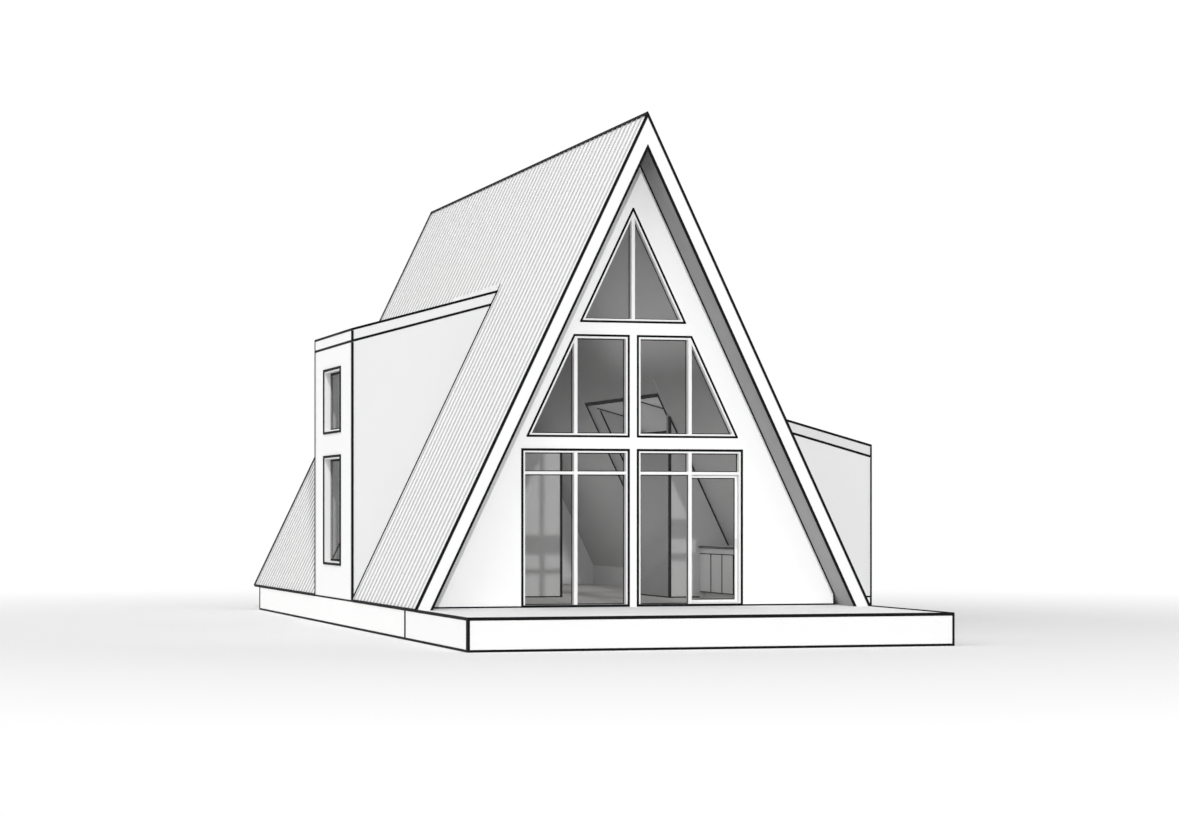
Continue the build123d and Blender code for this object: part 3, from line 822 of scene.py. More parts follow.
def solids(node: str) -> list[Box]:
    """The box of each separate solid of a CAD node.

    Args:
        node: the node's name.

    Returns:
        Lowest and highest corner of each solid, from low X to high, then low Z to high.
    """
    mesh = bmesh.new()
    mesh.from_mesh(frame["nodes"][node].data)
    bmesh.ops.remove_doubles(mesh, verts=mesh.verts, dist=SKIN)
    waiting, boxes = set(mesh.verts), []
    while waiting:
        reached, places = [waiting.pop()], []
        while reached:
            corner = reached.pop()
            places.append(corner.co.copy())
            linked = {edge.other_vert(corner) for edge in corner.link_edges} & waiting
            waiting -= linked
            reached.extend(linked)
        low, high = (Vector(pick(axis) for axis in zip(*places)) for pick in (min, max))
        boxes.append((low, high))
    mesh.free()
    return sorted(boxes, key=lambda ends: (round(ends[0].x, 3), round(ends[0].z, 3)))


# The cabin's own lines


@dataclass(frozen=True)
class Lines:
    """The main lines of the cabin, read from the frame."""

    floor: float
    half: float
    ridge: float
    fall: float
    front: float
    rear: float
    house_end: float
    deck_front: float
    slab: float

    @classmethod
    def measured(cls) -> "Lines":
        """Reads them from the CAD nodes' boxes."""
        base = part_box("house_foundation")[1]
        rake_low, rake_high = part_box("front_right_rake_board")
        fall = (rake_high.z - rake_low.z) / (rake_high.x - rake_low.x)
        slope = frame["nodes"]["right_roof_slope"].data
        foot = min(v.co.x for v in slope.vertices if v.co.z < base.z + 0.001)
        return cls(
            floor=base.z,
            half=base.x,
            ridge=base.z + base.x * fall,
            fall=fall,
            front=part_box("left_roof_cladding")[0].y,
            rear=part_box("left_roof_cladding")[1].y,
            house_end=base.y,
            deck_front=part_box("deck_frame")[0].y,
            slab=(base.x - foot) * fall / math.hypot(1.0, fall),
        )

    @property
    def foot(self) -> float:
        """Foot of the strips that stand on the floor."""
        return self.floor + LIFT

    @property
    def lean(self) -> tuple[float, float]:
        """Cosine and sine of the roof's pitch."""
        long = math.hypot(1.0, self.fall)
        return 1.0 / long, self.fall / long

    @property
    def slope_length(self) -> float:
        """From the ridge down to the roof's foot."""
        return math.hypot(self.half, self.ridge - self.floor)

    def under(self, x: float) -> float:
        """Height of the slopes' inner faces over an X."""
        return self.ridge - self.slab / self.lean[0] - x * self.fall

    def down(self, side: int) -> Vector:
        """One metre down a slope; side is -1 on the left and 1 on the right."""
        return Vector((side * self.lean[0], 0.0, -self.lean[1]))

    def outward(self, side: int) -> Vector:
        """One metre square out of a slope."""
        return Vector((side * self.lean[1], 0.0, self.lean[0]))

    def on_slope(self, side: int, along: float, depth: float, y: float) -> Vector:
        """A point of a slope.

        Args:
            side: -1 for the left slope, 1 for the right.
            along: distance down the slope from the ridge.
            depth: distance below its outer face.
            y: place from front to rear.

        Returns:
            The point.
        """
        top = Vector((0.0, y, self.ridge))
        return top + self.down(side) * along - self.outward(side) * depth

    def at_height(self, side: int, z: float, depth: float, y: float) -> Vector:
        """The point of a slope at a height, a depth below its outer face."""
        reach = (self.ridge - z) / self.fall - depth / self.lean[1]
        return Vector((side * reach, y, z))


LINES = Lines.measured()

DECK_BOARDS = 29


@dataclass(frozen=True)
class Palette:
    """Every finish on the cabin."""

    render: Finish = Render("masonry_render", (0.94, 0.94, 0.935), 0.8)
    wall: Finish = PaintedPanel("front_wall_paint", grey(0.965), 0.6)
    wing_wall: Finish = PaintedPanel("wing_wall_paint", grey(0.92), 0.6)
    # Painted shade: the wings' front and rear walls take a greyer paint than the gable walls, the
    # right wing's a little lighter than the left's; under the slopes they take the lining's grey.
    cheek: Finish = PaintedPanel("cheek_painted_shade_left", (0.70, 0.70, 0.705), 0.65, grey(0.55))
    painted_shade_cheek_right: Finish = PaintedPanel(
        "cheek_painted_shade_right", (0.76, 0.76, 0.765), 0.65, grey(0.55)
    )
    inside: Finish = PaintedPanel("inside_wall_paint", grey(0.75), 0.7)
    # Painted shade: the dark grey of the kitchen side wall and of the skin on the kitchen wall's
    # end face.
    side_wall: Finish = PaintedPanel("side_wall_paint", grey(0.38), 0.7)
    rake: Finish = PaintedWood("rake_board_paint", grey(0.86), 0.5)
    # Painted shade: the wing fascias' front faces take a darker grey than their sides.
    board: Finish = PaintedWood(
        "trim_board_paint",
        grey(0.92),
        0.5,
        (0.0, 1.0, 0.0),
        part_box("left_wing_fascia")[0].y,
        grey(0.72),
    )
    # Painted shade: the deck frame's front face takes a darker grey than its sides.
    deck_frame: Finish = PaintedWood(
        "deck_frame_paint", grey(0.93), 0.55, front=LINES.deck_front, front_painted_shade=grey(0.84)
    )
    frames: Finish = PaintedWood("window_frame_paint", grey(0.90), 0.35, (0.0, 0.0, 1.0))
    # Painted shade: the lining's darker grey outside the house, on the soffits.
    lining: Finish = LinedBoards("roof_lining", grey(0.34), 0.6, grey(0.55))
    roof: Finish = SeamedSheet("seamed_roof_sheet", grey(0.94), 0.45, LINES.front, 0.27267)
    wing_roof: Finish = Membrane("wing_roof_membrane", grey(0.80), 0.7, grey(0.55))
    floor: Finish = PlankFloor("floor_boards", (0.42, 0.41, 0.40), 0.4)
    deck: DeckPlank = DeckPlank(
        "deck_boards", grey(0.98), 0.65, LINES.deck_front, -LINES.deck_front / DECK_BOARDS
    )
    dark: Finish = CoatedMetal("dark_coated_metal", (0.006, 0.006, 0.0065), 0.6, 0.08)
    gasket: Finish = CoatedMetal("glazing_rubber", grey(0.012), 0.7, 0.1)
    pull: Finish = CoatedMetal("white_coated_metal", grey(0.70), 0.4)
    flashing: Finish = CoatedMetal("pale_coated_metal", grey(0.78), 0.45)
    glass: Finish = TintedGlass("tinted_glass", (0.05, 0.05, 0.052), 0.05)
    units: Finish = Laminate("unit_laminate", grey(0.26), 0.5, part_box("kitchen_units")[0].y)
    stone: Finish = HonedStone("worktop_stone", grey(0.30), 0.4)


PAINTS = Palette()


# Roof


@dataclass
class RoofTrim:
    """Dark metal along the roof's edges."""

    over_seams: float = 0.0225
    verge_leg: float = 0.016
    flange: float = 0.028
    rear_flange: float = 0.080
    bead_width: float = 0.034
    wall_bead: float = 0.022
    wall_bead_depth: float = 0.004
    rake_depth: float = 0.232
    drip_rise: float = 0.026
    drip_drop: float = 0.026
    drip_bend: float = 0.002
    drip_clear: float = 0.004
    drip_thick: float = 0.003
    spare: float = 0.2

    def raked(
        self, side: int, profile: Sequence[Point], thick: float = SHEET, foot: float | None = None
    ) -> Piece:
        """A strip that runs down one gable edge, cut plumb at the ridge and level at its foot.

        Args:
            side: -1 for the left slope, 1 for the right.
            profile: depth below the slope's outer face and Y of each corner.
            thick: its thickness.
            foot: its foot's height, or the floor.

        Returns:
            The strip.
        """
        corners = [LINES.on_slope(side, -self.spare, depth, y) for depth, y in profile]
        run = LINES.down(side) * (LINES.slope_length + 2 * self.spare)
        piece = Piece.folded(corners, run, thick).cut((0, 0, 0), (-side, 0, 0))
        return piece.cut((0, 0, foot or LINES.foot), (0, 0, -1))

    def gable_edges(self) -> None:
        """Angles over the cladding's ends, and along the rake boards' inner edges."""
        caps, beads = [], []
        seams, low = -self.over_seams, self.rake_depth + PROUD
        for y, way in ((LINES.front, -1.0), (LINES.rear, 1.0)):
            for side in (-1, 1):
                face = y + way * PROUD
                back = y - way * (self.flange if way < 0 else self.rear_flange)
                cap = [(self.verge_leg, face), (seams, face), (seams, back)]
                caps.append(self.raked(side, cap).softened())
                high, back = self.rake_depth - self.bead_width, y - way * self.flange
                beads.append(self.raked(side, [(high, face), (low, face), (low, back)]).softened())
        dark("roof_verge_caps", caps)
        dark("rake_board_beads", beads)

    def wall_beads(self) -> None:
        """Thin beads where the gable walls meet the slopes and their plumb ends."""
        reach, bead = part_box("front_wall_right")[1].x, self.wall_bead
        turn, thick = LINES.under(reach), self.wall_bead_depth
        beads = []
        for side in (-1, 1):
            for y in (-LIFT - thick, LINES.house_end + LIFT):
                profile = [(LINES.slab, y), (LINES.slab + bead, y)]
                beads.append(self.raked(side, profile, thick, turn))
                x = side * (reach - bead / 2)
                plan = [(x - bead / 2, y), (x + bead / 2, y)]
                beads.append(Piece.upright(plan, LINES.foot, turn + LIFT, thick))
        dark("gable_wall_beads", beads)

    def drips(self) -> None:
        """Drip edges along the roof's feet, stopped at the wings."""
        edges = []
        for side, wing in ((-1, "left_wing_fascia"), (1, "right_wing_fascia")):
            wing_low, wing_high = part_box(wing)
            face = side * (LINES.half + self.drip_clear)
            for start, end in ((LINES.front, wing_low.y), (wing_high.y, LINES.rear)):
                profile = [
                    LINES.at_height(side, LINES.floor + up, -self.over_seams, start)
                    for up in (self.drip_rise, self.drip_bend)
                ]
                profile += [(face, start, LINES.floor - drop) for drop in (LIFT, self.drip_drop)]
                edges.append(Piece.folded(profile, (0, end - start, 0), self.drip_thick))
        dark("roof_foot_drip_edges", edges)

    def build(self) -> None:
        """Builds every roof trim."""
        self.gable_edges()
        self.wall_beads()
        self.drips()


# Foundation and deck


@dataclass
class BaseTrim:
    """Dark strips round the foundation and the deck, and the deck's boards."""

    ground_strip: float = 0.036
    top_strip: float = 0.048
    legs: Point = (0.034, 0.095)
    kerb: float = 0.019
    gap: float = 0.005
    board_edge: float = 0.003
    wall_foot: float = 0.024
    overlap: float = 0.006
    reveal: float = 0.014
    below_floor: float = 0.026

    def rings(self) -> None:
        """The strip round all that stands on the ground, and the deck's top edge."""
        low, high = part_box("wing_foundation")
        half, out = LINES.half + PROUD, high.x + PROUD
        front, end = LINES.deck_front - PROUD, LINES.house_end + PROUD
        wing_front, wing_end = low.y - PROUD, high.y + PROUD
        plan = [(-half, front), (half, front), (half, wing_front), (out, wing_front)]
        plan += [(out, wing_end), (half, wing_end), (half, end), (-half, end)]
        ring = Piece.upright(plan, LIFT, LIFT + self.ground_strip, closed=True)
        dark("ground_strip", [ring.softened()])
        plan = [(-half, LINES.front), (-half, front), (half, front), (half, LINES.front)]
        head = LINES.floor + self.kerb
        dark("deck_edge_strip", [Piece.upright(plan, head - self.top_strip, head).softened()])

    def corners(self) -> None:
        """Upright angles on the corners, and covers where the deck meets the foundation."""
        low, under_kerb = self.ground_strip + LIFT, LINES.floor + self.kerb - self.top_strip
        half, end, head = LINES.half, LINES.house_end, LINES.floor - self.below_floor
        wing_low, wing_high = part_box("wing_foundation")
        uprights = [
            Piece.angle(x, y, way, self.legs, low, high).softened()
            for x, y, way, high in (
                (-half, LINES.deck_front, (-1, -1), under_kerb),
                (half, LINES.deck_front, (1, -1), under_kerb),
                (-half, end, (-1, 1), head),
                (half, end, (1, 1), head),
                (wing_high.x, wing_low.y, (1, -1), head),
                (wing_high.x, wing_high.y, (1, 1), head),
            )
        ]
        for side in (-1, 1):
            x, reach = side * (half + PROUD), self.legs[1] / 2
            uprights.append(Piece.upright([(x, -reach), (x, reach)], low, head))
        dark("base_corner_angles", uprights)

    def wall_feet(self) -> None:
        """Strips at the feet of the wings' walls and of the gable walls."""
        left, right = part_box("left_wing_fascia"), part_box("right_wing_fascia")
        half, out = LINES.half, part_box("wing_foundation")[1].x + PROUD
        low, high = LINES.floor - self.wall_foot, LINES.floor + self.overlap
        front, end = right[0].y - PROUD, right[1].y + PROUD
        around = [(half, front), (out, front), (out, end), (half, end)]
        feet = [
            Piece.upright([(-half - PROUD, left[0].y), (-half - PROUD, left[1].y)], low, high),
            Piece.upright(around, low, high),
        ]
        reach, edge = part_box("knee_walls")[1].x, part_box("door_frame")[1].x + self.reveal
        front, rear = -PROUD, LINES.house_end + PROUD
        spans = ((-reach, -edge, front), (edge, reach, front), (-reach, reach, rear))
        for start, stop, y in spans:
            plan = [(start, y), (stop, y)]
            feet.append(Piece.upright(plan, LINES.foot, LINES.foot + self.wall_foot))
        dark("wall_foot_strips", feet)

    def deck_boards(self) -> None:
        """The deck's boards, laid across the house."""
        low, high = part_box("deck_surface")
        pitch = PAINTS.deck.pitch
        board = Piece.block(low, (high.x, low.y + pitch - self.gap, high.z))
        board.softened(self.board_edge, 2).repeated(DECK_BOARDS, (0, pitch, 0)).finished(
            "deck_boards", Slot.DECK_GREY, PAINTS.deck, stands_for=["deck_surface"]
        )

    def build(self) -> None:
        """Builds the deck's boards and every strip at the base."""
        self.deck_boards()
        self.rings()
        self.corners()
        self.wall_feet()


# Wings


@dataclass(frozen=True)
class Wing:
    """One wing: its lines, and the metal on it."""

    label: str
    side: int
    rise: float = 0.274
    roof_depth: float = 0.231
    wall: float = 0.152
    strip: float = 0.042
    lap: float = 0.006
    over: float = 0.004
    legs: Point = (0.030, 0.070)
    cap: float = 0.045
    cap_lift: float = 0.002
    cap_thick: float = 0.003
    bead: float = 0.018
    flashing_thick: float = 0.002
    flashing_lift: float = 0.003
    flashing: Point = (0.110, 0.030)
    flashing_seat: Point = (0.02, 0.12)
    seams: float = 0.0215

    @property
    def box(self) -> Box:
        """Lowest and highest corner of the wing's roof edge."""
        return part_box(f"{self.label}_wing_fascia")

    @property
    def ends(self) -> tuple[tuple[float, int], tuple[float, int]]:
        """Y and outward way of the wing's two side faces."""
        return (self.box[0].y, -1), (self.box[1].y, 1)

    @property
    def out(self) -> float:
        """Distance of the outer face from the middle of the house."""
        return max(abs(self.box[0].x), abs(self.box[1].x))

    @property
    def head(self) -> float:
        """Top of the roof's outer edge."""
        return self.box[0].z + self.roof_depth

    def level(self, x: float) -> float:
        """Height of the roof's upper face at a distance from the middle of the house."""
        return self.head + self.rise * (self.out - x)

    def ceiling(self, x: float) -> float:
        """Height of the roof's underside at a distance from the middle of the house."""
        return self.level(x) - self.roof_depth

    def at(self, x: float, y: float, lift: float = 0.0) -> Vector:
        """A point over the roof's upper face."""
        return Vector((self.side * x, y, self.level(x) + lift))

    def meet(self, drop: float, depth: float) -> float:
        """Where a line a drop below the wing's roof meets the slope at a depth."""
        top = LINES.ridge - depth / LINES.lean[0]
        return (top - (self.level(0.0) - drop)) / (LINES.fall - self.rise)

    @property
    def inner(self) -> float:
        """Where the wing's roof meets the slope."""
        return self.meet(0.0, 0.0)

    def edge_strip(self, drop: float) -> Piece:
        """A strip round the wing's roof edge, from a drop below its upper face."""
        inner, edge = self.meet(drop, 0.0), self.side * (self.out + PROUD)
        faces = [y + way * PROUD for y, way in self.ends]
        line = [Vector((edge, y, self.head - drop)) for y in faces]
        line = [self.at(inner, faces[0], -drop), *line, self.at(inner, faces[1], -drop)]
        return Piece.folded(line, (0, 0, -self.strip)).softened()

    def roof_edges(self) -> None:
        """Strips along the fascia, flat caps on the roof's edges and angles on the corners."""
        drops = (-self.over, self.roof_depth - self.strip + self.lap)
        dark(f"{self.label}_wing_roof_edges", [self.edge_strip(drop) for drop in drops])
        front, rear = self.box[0].y, self.box[1].y
        inner, lift, thick = self.inner, self.cap_lift, self.cap_thick
        caps = []
        for y, way in self.ends:
            corner = self.at(self.out, y, lift)
            across = [corner, corner - Vector((0, way * self.cap, 0))]
            caps.append(Piece.folded(across, self.at(inner, y, lift) - corner, thick))
        along = [self.at(self.out, front, lift), self.at(self.out - self.cap, front, lift)]
        caps.append(Piece.folded(along, (0, rear - front, 0), thick))
        dark(f"{self.label}_wing_roof_caps", caps)
        under = self.head - self.roof_depth
        heights = (
            (LINES.floor + self.lap, under - self.lap),
            (under + self.strip - self.lap, self.head - self.strip + self.over),
        )
        angles = [
            Piece.angle(self.side * self.out, y, (self.side, way), self.legs, low, high)
            for low, high in heights
            for y, way in self.ends
        ]
        dark(f"{self.label}_wing_corner_angles", angles)

    def wall_flashings(self) -> None:
        """Thin flashings where the wing's side walls and fascia meet the slope."""
        start = self.inner / LINES.lean[0]
        run = LINES.down(self.side) * (min(self.out, LINES.half) / LINES.lean[0] - start)
        beads = []
        for y, way in self.ends:
            corners = ((self.bead, LIFT), (LIFT, LIFT), (LIFT, self.bead))
            profile = [
                LINES.on_slope(self.side, start, -up, y + way * out) for up, out in corners
            ]
            beads.append(Piece.folded(profile, run, self.flashing_thick))
        dark(f"{self.label}_wing_wall_flashings", beads)

    def roof_flashing(self) -> None:
        """Pale flashing where the wing's roof runs up against the slope."""
        thick, lift = self.flashing_thick, self.flashing_lift
        inner, cover = self.inner, self.seams + lift
        y, length = self.box[0].y + thick, self.box[1].y - self.box[0].y - 2 * thick
        high, low = self.flashing
        near, far = self.flashing_seat
        profile = [self.at(inner + far, y, lift), self.at(inner + near, y, lift)]
        for up, out in ((low, cover), (high, cover), (high, thick)):
            profile.append(LINES.on_slope(self.side, inner / LINES.lean[0] - up, -out, y))
        sheet = Piece.folded(profile, (0, length, 0), thick)
        name = f"{self.label}_wing_roof_flashing"
        sheet.finished(name, Slot.ROOF_SHEET, PAINTS.flashing)

    def build(self) -> None:
        """Builds every trim of the wing."""
        self.roof_edges()
        self.wall_flashings()
        self.roof_flashing()


WINGS = (Wing("left", -1), Wing("right", 1))


# Windows and doors


@dataclass
class Surrounds:
    """Dark surrounds that frame every window opening."""

    lower: float = 0.038
    upper: float = 0.034
    wing: float = 0.040
    proud: float = 0.006
    wing_proud: float = 0.022
    sunk: float = 0.002
    soft: float = 0.0015
    sill_over: float = 3.1

    def rim(
        self,
        low: Vector,
        high: Vector,
        way: Vector,
        width: float,
        proud: float,
        cuts: Sequence[tuple[Point, Vector]] = (),
    ) -> Piece:
        """One surround.

        Args:
            low: the opening's lowest corner, on the wall's face.
            high: its highest corner.
            way: which way the wall looks.
            width: the surround's width.
            proud: how far it stands out of the wall.
            cuts: planes (point, normal) of the opening's raked edges.

        Returns:
            The surround.
        """
        grow = width / 2
        side = Vector((grow, grow, grow)) - Vector(abs(part) for part in way) * grow
        low, high = low - side, high + side
        low.z = max(low.z, LINES.foot)
        sunk = way * -self.sunk
        piece = Piece.panel(low + sunk, high + sunk)
        for point, normal in cuts:
            piece.cut(Vector(point) + normal * grow, normal)
        return piece.rimmed(width, way * (proud + self.sunk)).softened(self.soft)

    def gable(self, name: str, y: float, way: Vector, lower: Sequence[Box]) -> None:
        """The surrounds of one gable wall: the top one, the raked pair and the lower ones.

        Args:
            name: the piece's name.
            y: the wall's outer face.
            way: which way it looks.
            lower: boxes of the lower openings.
        """
        top_low, top_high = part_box("gable_window_frame")
        foot, head = (corner.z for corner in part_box("upper_window_frames"))
        post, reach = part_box("front_wall_post")[1].x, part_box("upper_window_frames")[1].x
        openings = [
            (top_low.x, top_high.x, top_low.z, top_high.z, self.upper, (1, -1)),
            (-reach, -post, foot, head, self.upper, (-1,)),
            (post, reach, foot, head, self.upper, (1,)),
            *((low.x, high.x, low.z, high.z, self.lower, ()) for low, high in lower),
        ]
        rims = []
        for left, right, foot, head, width, raked in openings:
            edges = {1: right, -1: left}
            cuts = [((edges[side], y, foot), LINES.outward(side)) for side in raked]
            low, high = Vector((left, y, foot)), Vector((right, y, head))
            rims.append(self.rim(low, high, way, width, self.proud, cuts))
        dark(name, rims)

    def wings(self) -> None:
        """The surrounds of the wings' windows."""
        rims = []
        for low, high in solids("wing_window_frames"):
            side = -1 if low.x < 0 else 1
            low.x = high.x = low.x if side < 0 else high.x
            rims.append(self.rim(low, high, Vector((side, 0, 0)), self.wing, self.wing_proud))
        dark("wing_window_surrounds", rims)

    def build(self) -> None:
        """Builds every surround."""
        front = [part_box("lower_window_frame"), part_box("door_frame")]
        rear = [ends for ends in solids("rear_window_frames") if ends[1].z < self.sill_over]
        self.gable("front_window_surrounds", 0.0, Vector((0, -1, 0)), front)
        self.gable("rear_window_surrounds", LINES.house_end, Vector((0, 1, 0)), rear)
        self.wings()


@dataclass
class Glazing:
    """Rubber gaskets round the panes, and the sliding door's pull."""

    width: float = 0.016
    wing_width: float = 0.036
    proud: float = 0.003
    pull_stile: float = 0.0225
    pull_height: float = 1.0
    pull_half: Point = (0.013, 0.085)
    pull_rim: float = 0.006
    pull_depth: float = 0.0020
    pull_out: Point = (0.0025, 0.0005)
    pull_soft: float = 0.0008

    def gasket(self, node: str, width: float, body: Body, *ways: Point) -> None:
        """Gaskets on every pane of a node.

        Args:
            node: the glass.
            width: the gasket's width.
            body: the body that it rides on.
            *ways: the ways that its panes look outside.
        """
        parts = []
        for way in ways:
            part = Piece.from_node(node).facing(way)
            parts.append(part.rimmed(width, Vector(way) * self.proud))
        Piece.gathered(parts).finished(f"{node}_gaskets", Slot.DARK_TRIM, PAINTS.gasket, body)

    def pull(self) -> None:
        """A flush finger pull let into the sliding leaf's outer stile."""
        low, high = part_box("sliding_door")
        middle = Vector((high.x - self.pull_stile, low.y, LINES.floor + self.pull_height))
        (across, up), (out, sunk) = self.pull_half, self.pull_out
        corners = Vector((-across, -out, -up)), Vector((across, sunk, up))
        plate = Piece.block(*(middle + corner for corner in corners))
        with editing(plate.made):
            plate.pick(lambda normal: normal.y < -0.9)
            bpy.ops.mesh.inset(thickness=self.pull_rim)
            bpy.ops.mesh.extrude_region_move(
                TRANSFORM_OT_translate={"value": (0, self.pull_depth, 0)}
            )
        plate.softened(self.pull_soft)
        plate.finished("door_flush_pull", Slot.FRAME_PAINT, PAINTS.pull, Body.LEAF)

    def build(self) -> None:
        """Builds the gaskets and the pull."""
        front, rear = (0, -1, 0), (0, 1, 0)
        self.gasket("front_lower_glass", self.width, Body.HOUSE, front)
        self.gasket("front_upper_glass", self.width, Body.HOUSE, front)
        self.gasket("rear_glass", self.width, Body.HOUSE, rear)
        self.gasket("wing_glass", self.wing_width, Body.HOUSE, (-1, 0, 0), (1, 0, 0))
        self.gasket("door_glass", self.width, Body.LEAF, front)
        self.pull()


# Inside


@dataclass
class InsideTrim:
    """What shows through the front glazing: skirtings, beads, casings and two inner walls."""

    skirting: float = 0.022
    bead: float = 0.040
    slope_bead: float = 0.030
    casing: float = 0.064
    casing_depth: float = 0.012
    strip: float = 0.004
    edging: float = 0.016
    joint: float = 0.040
    leg: float = 0.2
    clear: float = 0.002
    wall_seat: float = 0.0005
    side_wall_head: float = 3.43
    side_wall_skin: float = 0.001
    back_wall_place: float = 6.10
    back_wall_short: float = 0.1
    into_units: float = 0.03
    slope_ends: Point = (0.02, 0.12)
    room_ends: Point = (0.05, 0.16)
    room_clear: float = 0.003

    def partitions(self) -> None:
        """Skirtings and corner beads on the two partitions."""
        room, kitchen = solids("room_partitions")
        units, into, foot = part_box("kitchen_units")[0].x, self.into_units, LINES.foot
        parts = []
        for (low, high), way, start, edge, head in (
            (room, 1, room[0].x, room[1].x, room[1].z),
            (kitchen, -1, units - into, kitchen[0].x, LINES.under(kitchen[0].x + into)),
        ):
            x, near = edge + way * PROUD, low.y - PROUD
            plan = [(start, near), (x, near), (x, high.y + PROUD)]
            parts.append(Piece.upright(plan, foot, foot + self.skirting))
            plan = [(edge - way * self.bead, near), (x, near), (x, low.y + self.bead)]
            parts.append(Piece.upright(plan, foot, head - self.clear))
        low, high = kitchen
        slab, y, (near, far) = LINES.slab + self.clear, low.y - PROUD, self.slope_ends
        start, stop = (
            x / LINES.lean[0] + LINES.slab * LINES.fall for x in (low.x + near, high.x - far)
        )
        line = [LINES.on_slope(1, start, depth, y) for depth in (slab, slab + self.slope_bead)]
        parts.append(Piece.folded(line, LINES.down(1) * (stop - start)))
        dark("partition_beads", parts)

    def kitchen_return(self) -> None:
        """The side wall behind the kitchen wall, with a thin skin over the kitchen wall's end
        face, both in a dark grey that is painted shade, and the wall across the wing that it ends
        on.
        """
        wing, foot, skin = WINGS[1], LINES.floor + self.wall_seat, self.side_wall_skin
        low, high = solids("room_partitions")[1]
        back, head, thick = self.back_wall_place, self.side_wall_head, high.y - low.y
        end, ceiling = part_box("knee_walls")[1].x - self.back_wall_short, wing.ceiling(low.x)
        side = Piece.block((low.x, high.y, foot), (low.x + thick, back, head))
        top = high.z - 2 * self.clear
        # Painted shade: a thin skin in the side wall's dark grey over the kitchen wall's end face.
        cover = Piece.block((low.x - skin, low.y + skin, foot), (low.x, high.y, top))
        walls = Piece.gathered([side, cover])
        walls.finished("kitchen_side_wall", Slot.WALL_PAINT, PAINTS.side_wall)
        cross = Piece.block((low.x, back, foot), (end, back + thick, ceiling))
        cross.cut((low.x, back, ceiling - LIFT), (wing.rise, 0, 1))
        cross.finished("wing_cross_wall", Slot.WALL_PAINT, PAINTS.inside)
        x, y, top = low.x - PROUD, back - PROUD, ceiling - self.clear
        plan = [(x, high.y), (x, back)]
        line = [(low.x, y, top), (low.x, y, top - self.bead / 2)]
        run = (end - low.x, 0.0, -wing.rise * (end - low.x))
        beads = [
            Piece.upright(plan, foot, foot + self.skirting),
            Piece.upright(plan, head - self.bead, head),
            Piece.folded(line, run),
        ]
        dark("kitchen_return_beads", beads)

    def wing_openings(self) -> None:
        """Casings round the openings from the house into the wings."""
        casings, foot = [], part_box("knee_walls")[1].z
        for wing in WINGS:
            head = wing.ceiling(wing.meet(wing.roof_depth, LINES.slab))
            front, rear = (y - way * wing.wall for y, way in wing.ends)
            path = [
                LINES.at_height(wing.side, z, LINES.slab, y)
                for z, y in ((foot, front), (head, front), (head, rear), (foot, rear))
            ]
            run = LINES.outward(wing.side) * -self.casing_depth
            casings.append(Piece.folded(path, run, self.casing))
        dark("wing_opening_casings", casings)

    def wing_corners(self) -> None:
        """Beads inside the wings, where their side walls meet the slope and the ceiling."""
        beads, thick = [], self.strip
        for wing in WINGS:
            side, inner = wing.side, wing.meet(wing.roof_depth, -self.slope_ends[0])
            start = inner / LINES.lean[0]
            down = LINES.down(side) * (LINES.slope_length - 0.5 / LINES.lean[1] - start)
            near, far = inner - self.room_ends[0], wing.out - self.room_ends[1]
            top = wing.ceiling(near) - LIFT
            along = (side * (far - near), 0.0, -wing.rise * (far - near))
            for end, way in wing.ends:
                y = end - way * (wing.wall + self.room_clear)
                line = [LINES.on_slope(side, start, depth, y) for depth in (-self.slope_bead, 0.0)]
                beads.append(Piece.folded(line, down, thick))
                line = [(side * near, y, z) for z in (top, top - self.bead / 2)]
                beads.append(Piece.folded(line, along, thick))
        dark("wing_room_beads", beads)

    def kitchen(self) -> None:
        """Dark edge strips on the worktop's front and the units' end, plinth and joints."""
        top_low, top_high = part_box("kitchen_worktop")
        door_low, door_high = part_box("kitchen_doors")
        unit_low, unit_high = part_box("kitchen_units")
        doors = sorted(solids("kitchen_doors"), key=lambda ends: ends[0].y)
        edge, out = self.edging, self.strip / 2
        foot, head, x, y = door_low.z, door_high.z, door_low.x - out, unit_low.y - out
        top = (top_low.x - out, top_low.y - out)
        plans = [
            ([(top_high.x, top[1]), top, (top[0], top_high.y)], top_low.z, top_low.z + edge),
            ([(top_high.x, top[1]), top, (top[0], top_high.y)], top_high.z - edge, top_high.z),
            ([(unit_high.x - self.leg, y), (x, y), (x, door_high.y)], head - edge, head),
            ([(unit_high.x - self.leg, y), (x, y), (x, door_high.y)], foot, foot + edge),
            ([(x + edge, y), (x, y), (x, y + edge)], foot, head),
        ]
        for first, second in zip(doors, doors[1:]):
            middle, half = (first[1].y + second[0].y) / 2, self.joint / 2
            plans.append(([(x, middle - half), (x, middle + half)], foot, head))
        dark("kitchen_edge_strips", [Piece.upright(*plan, self.strip) for plan in plans])

    def build(self) -> None:
        """Builds the trims inside."""
        self.partitions()
        self.kitchen_return()
        self.wing_openings()
        self.wing_corners()
        self.kitchen()


# Finishes of the frame's own nodes


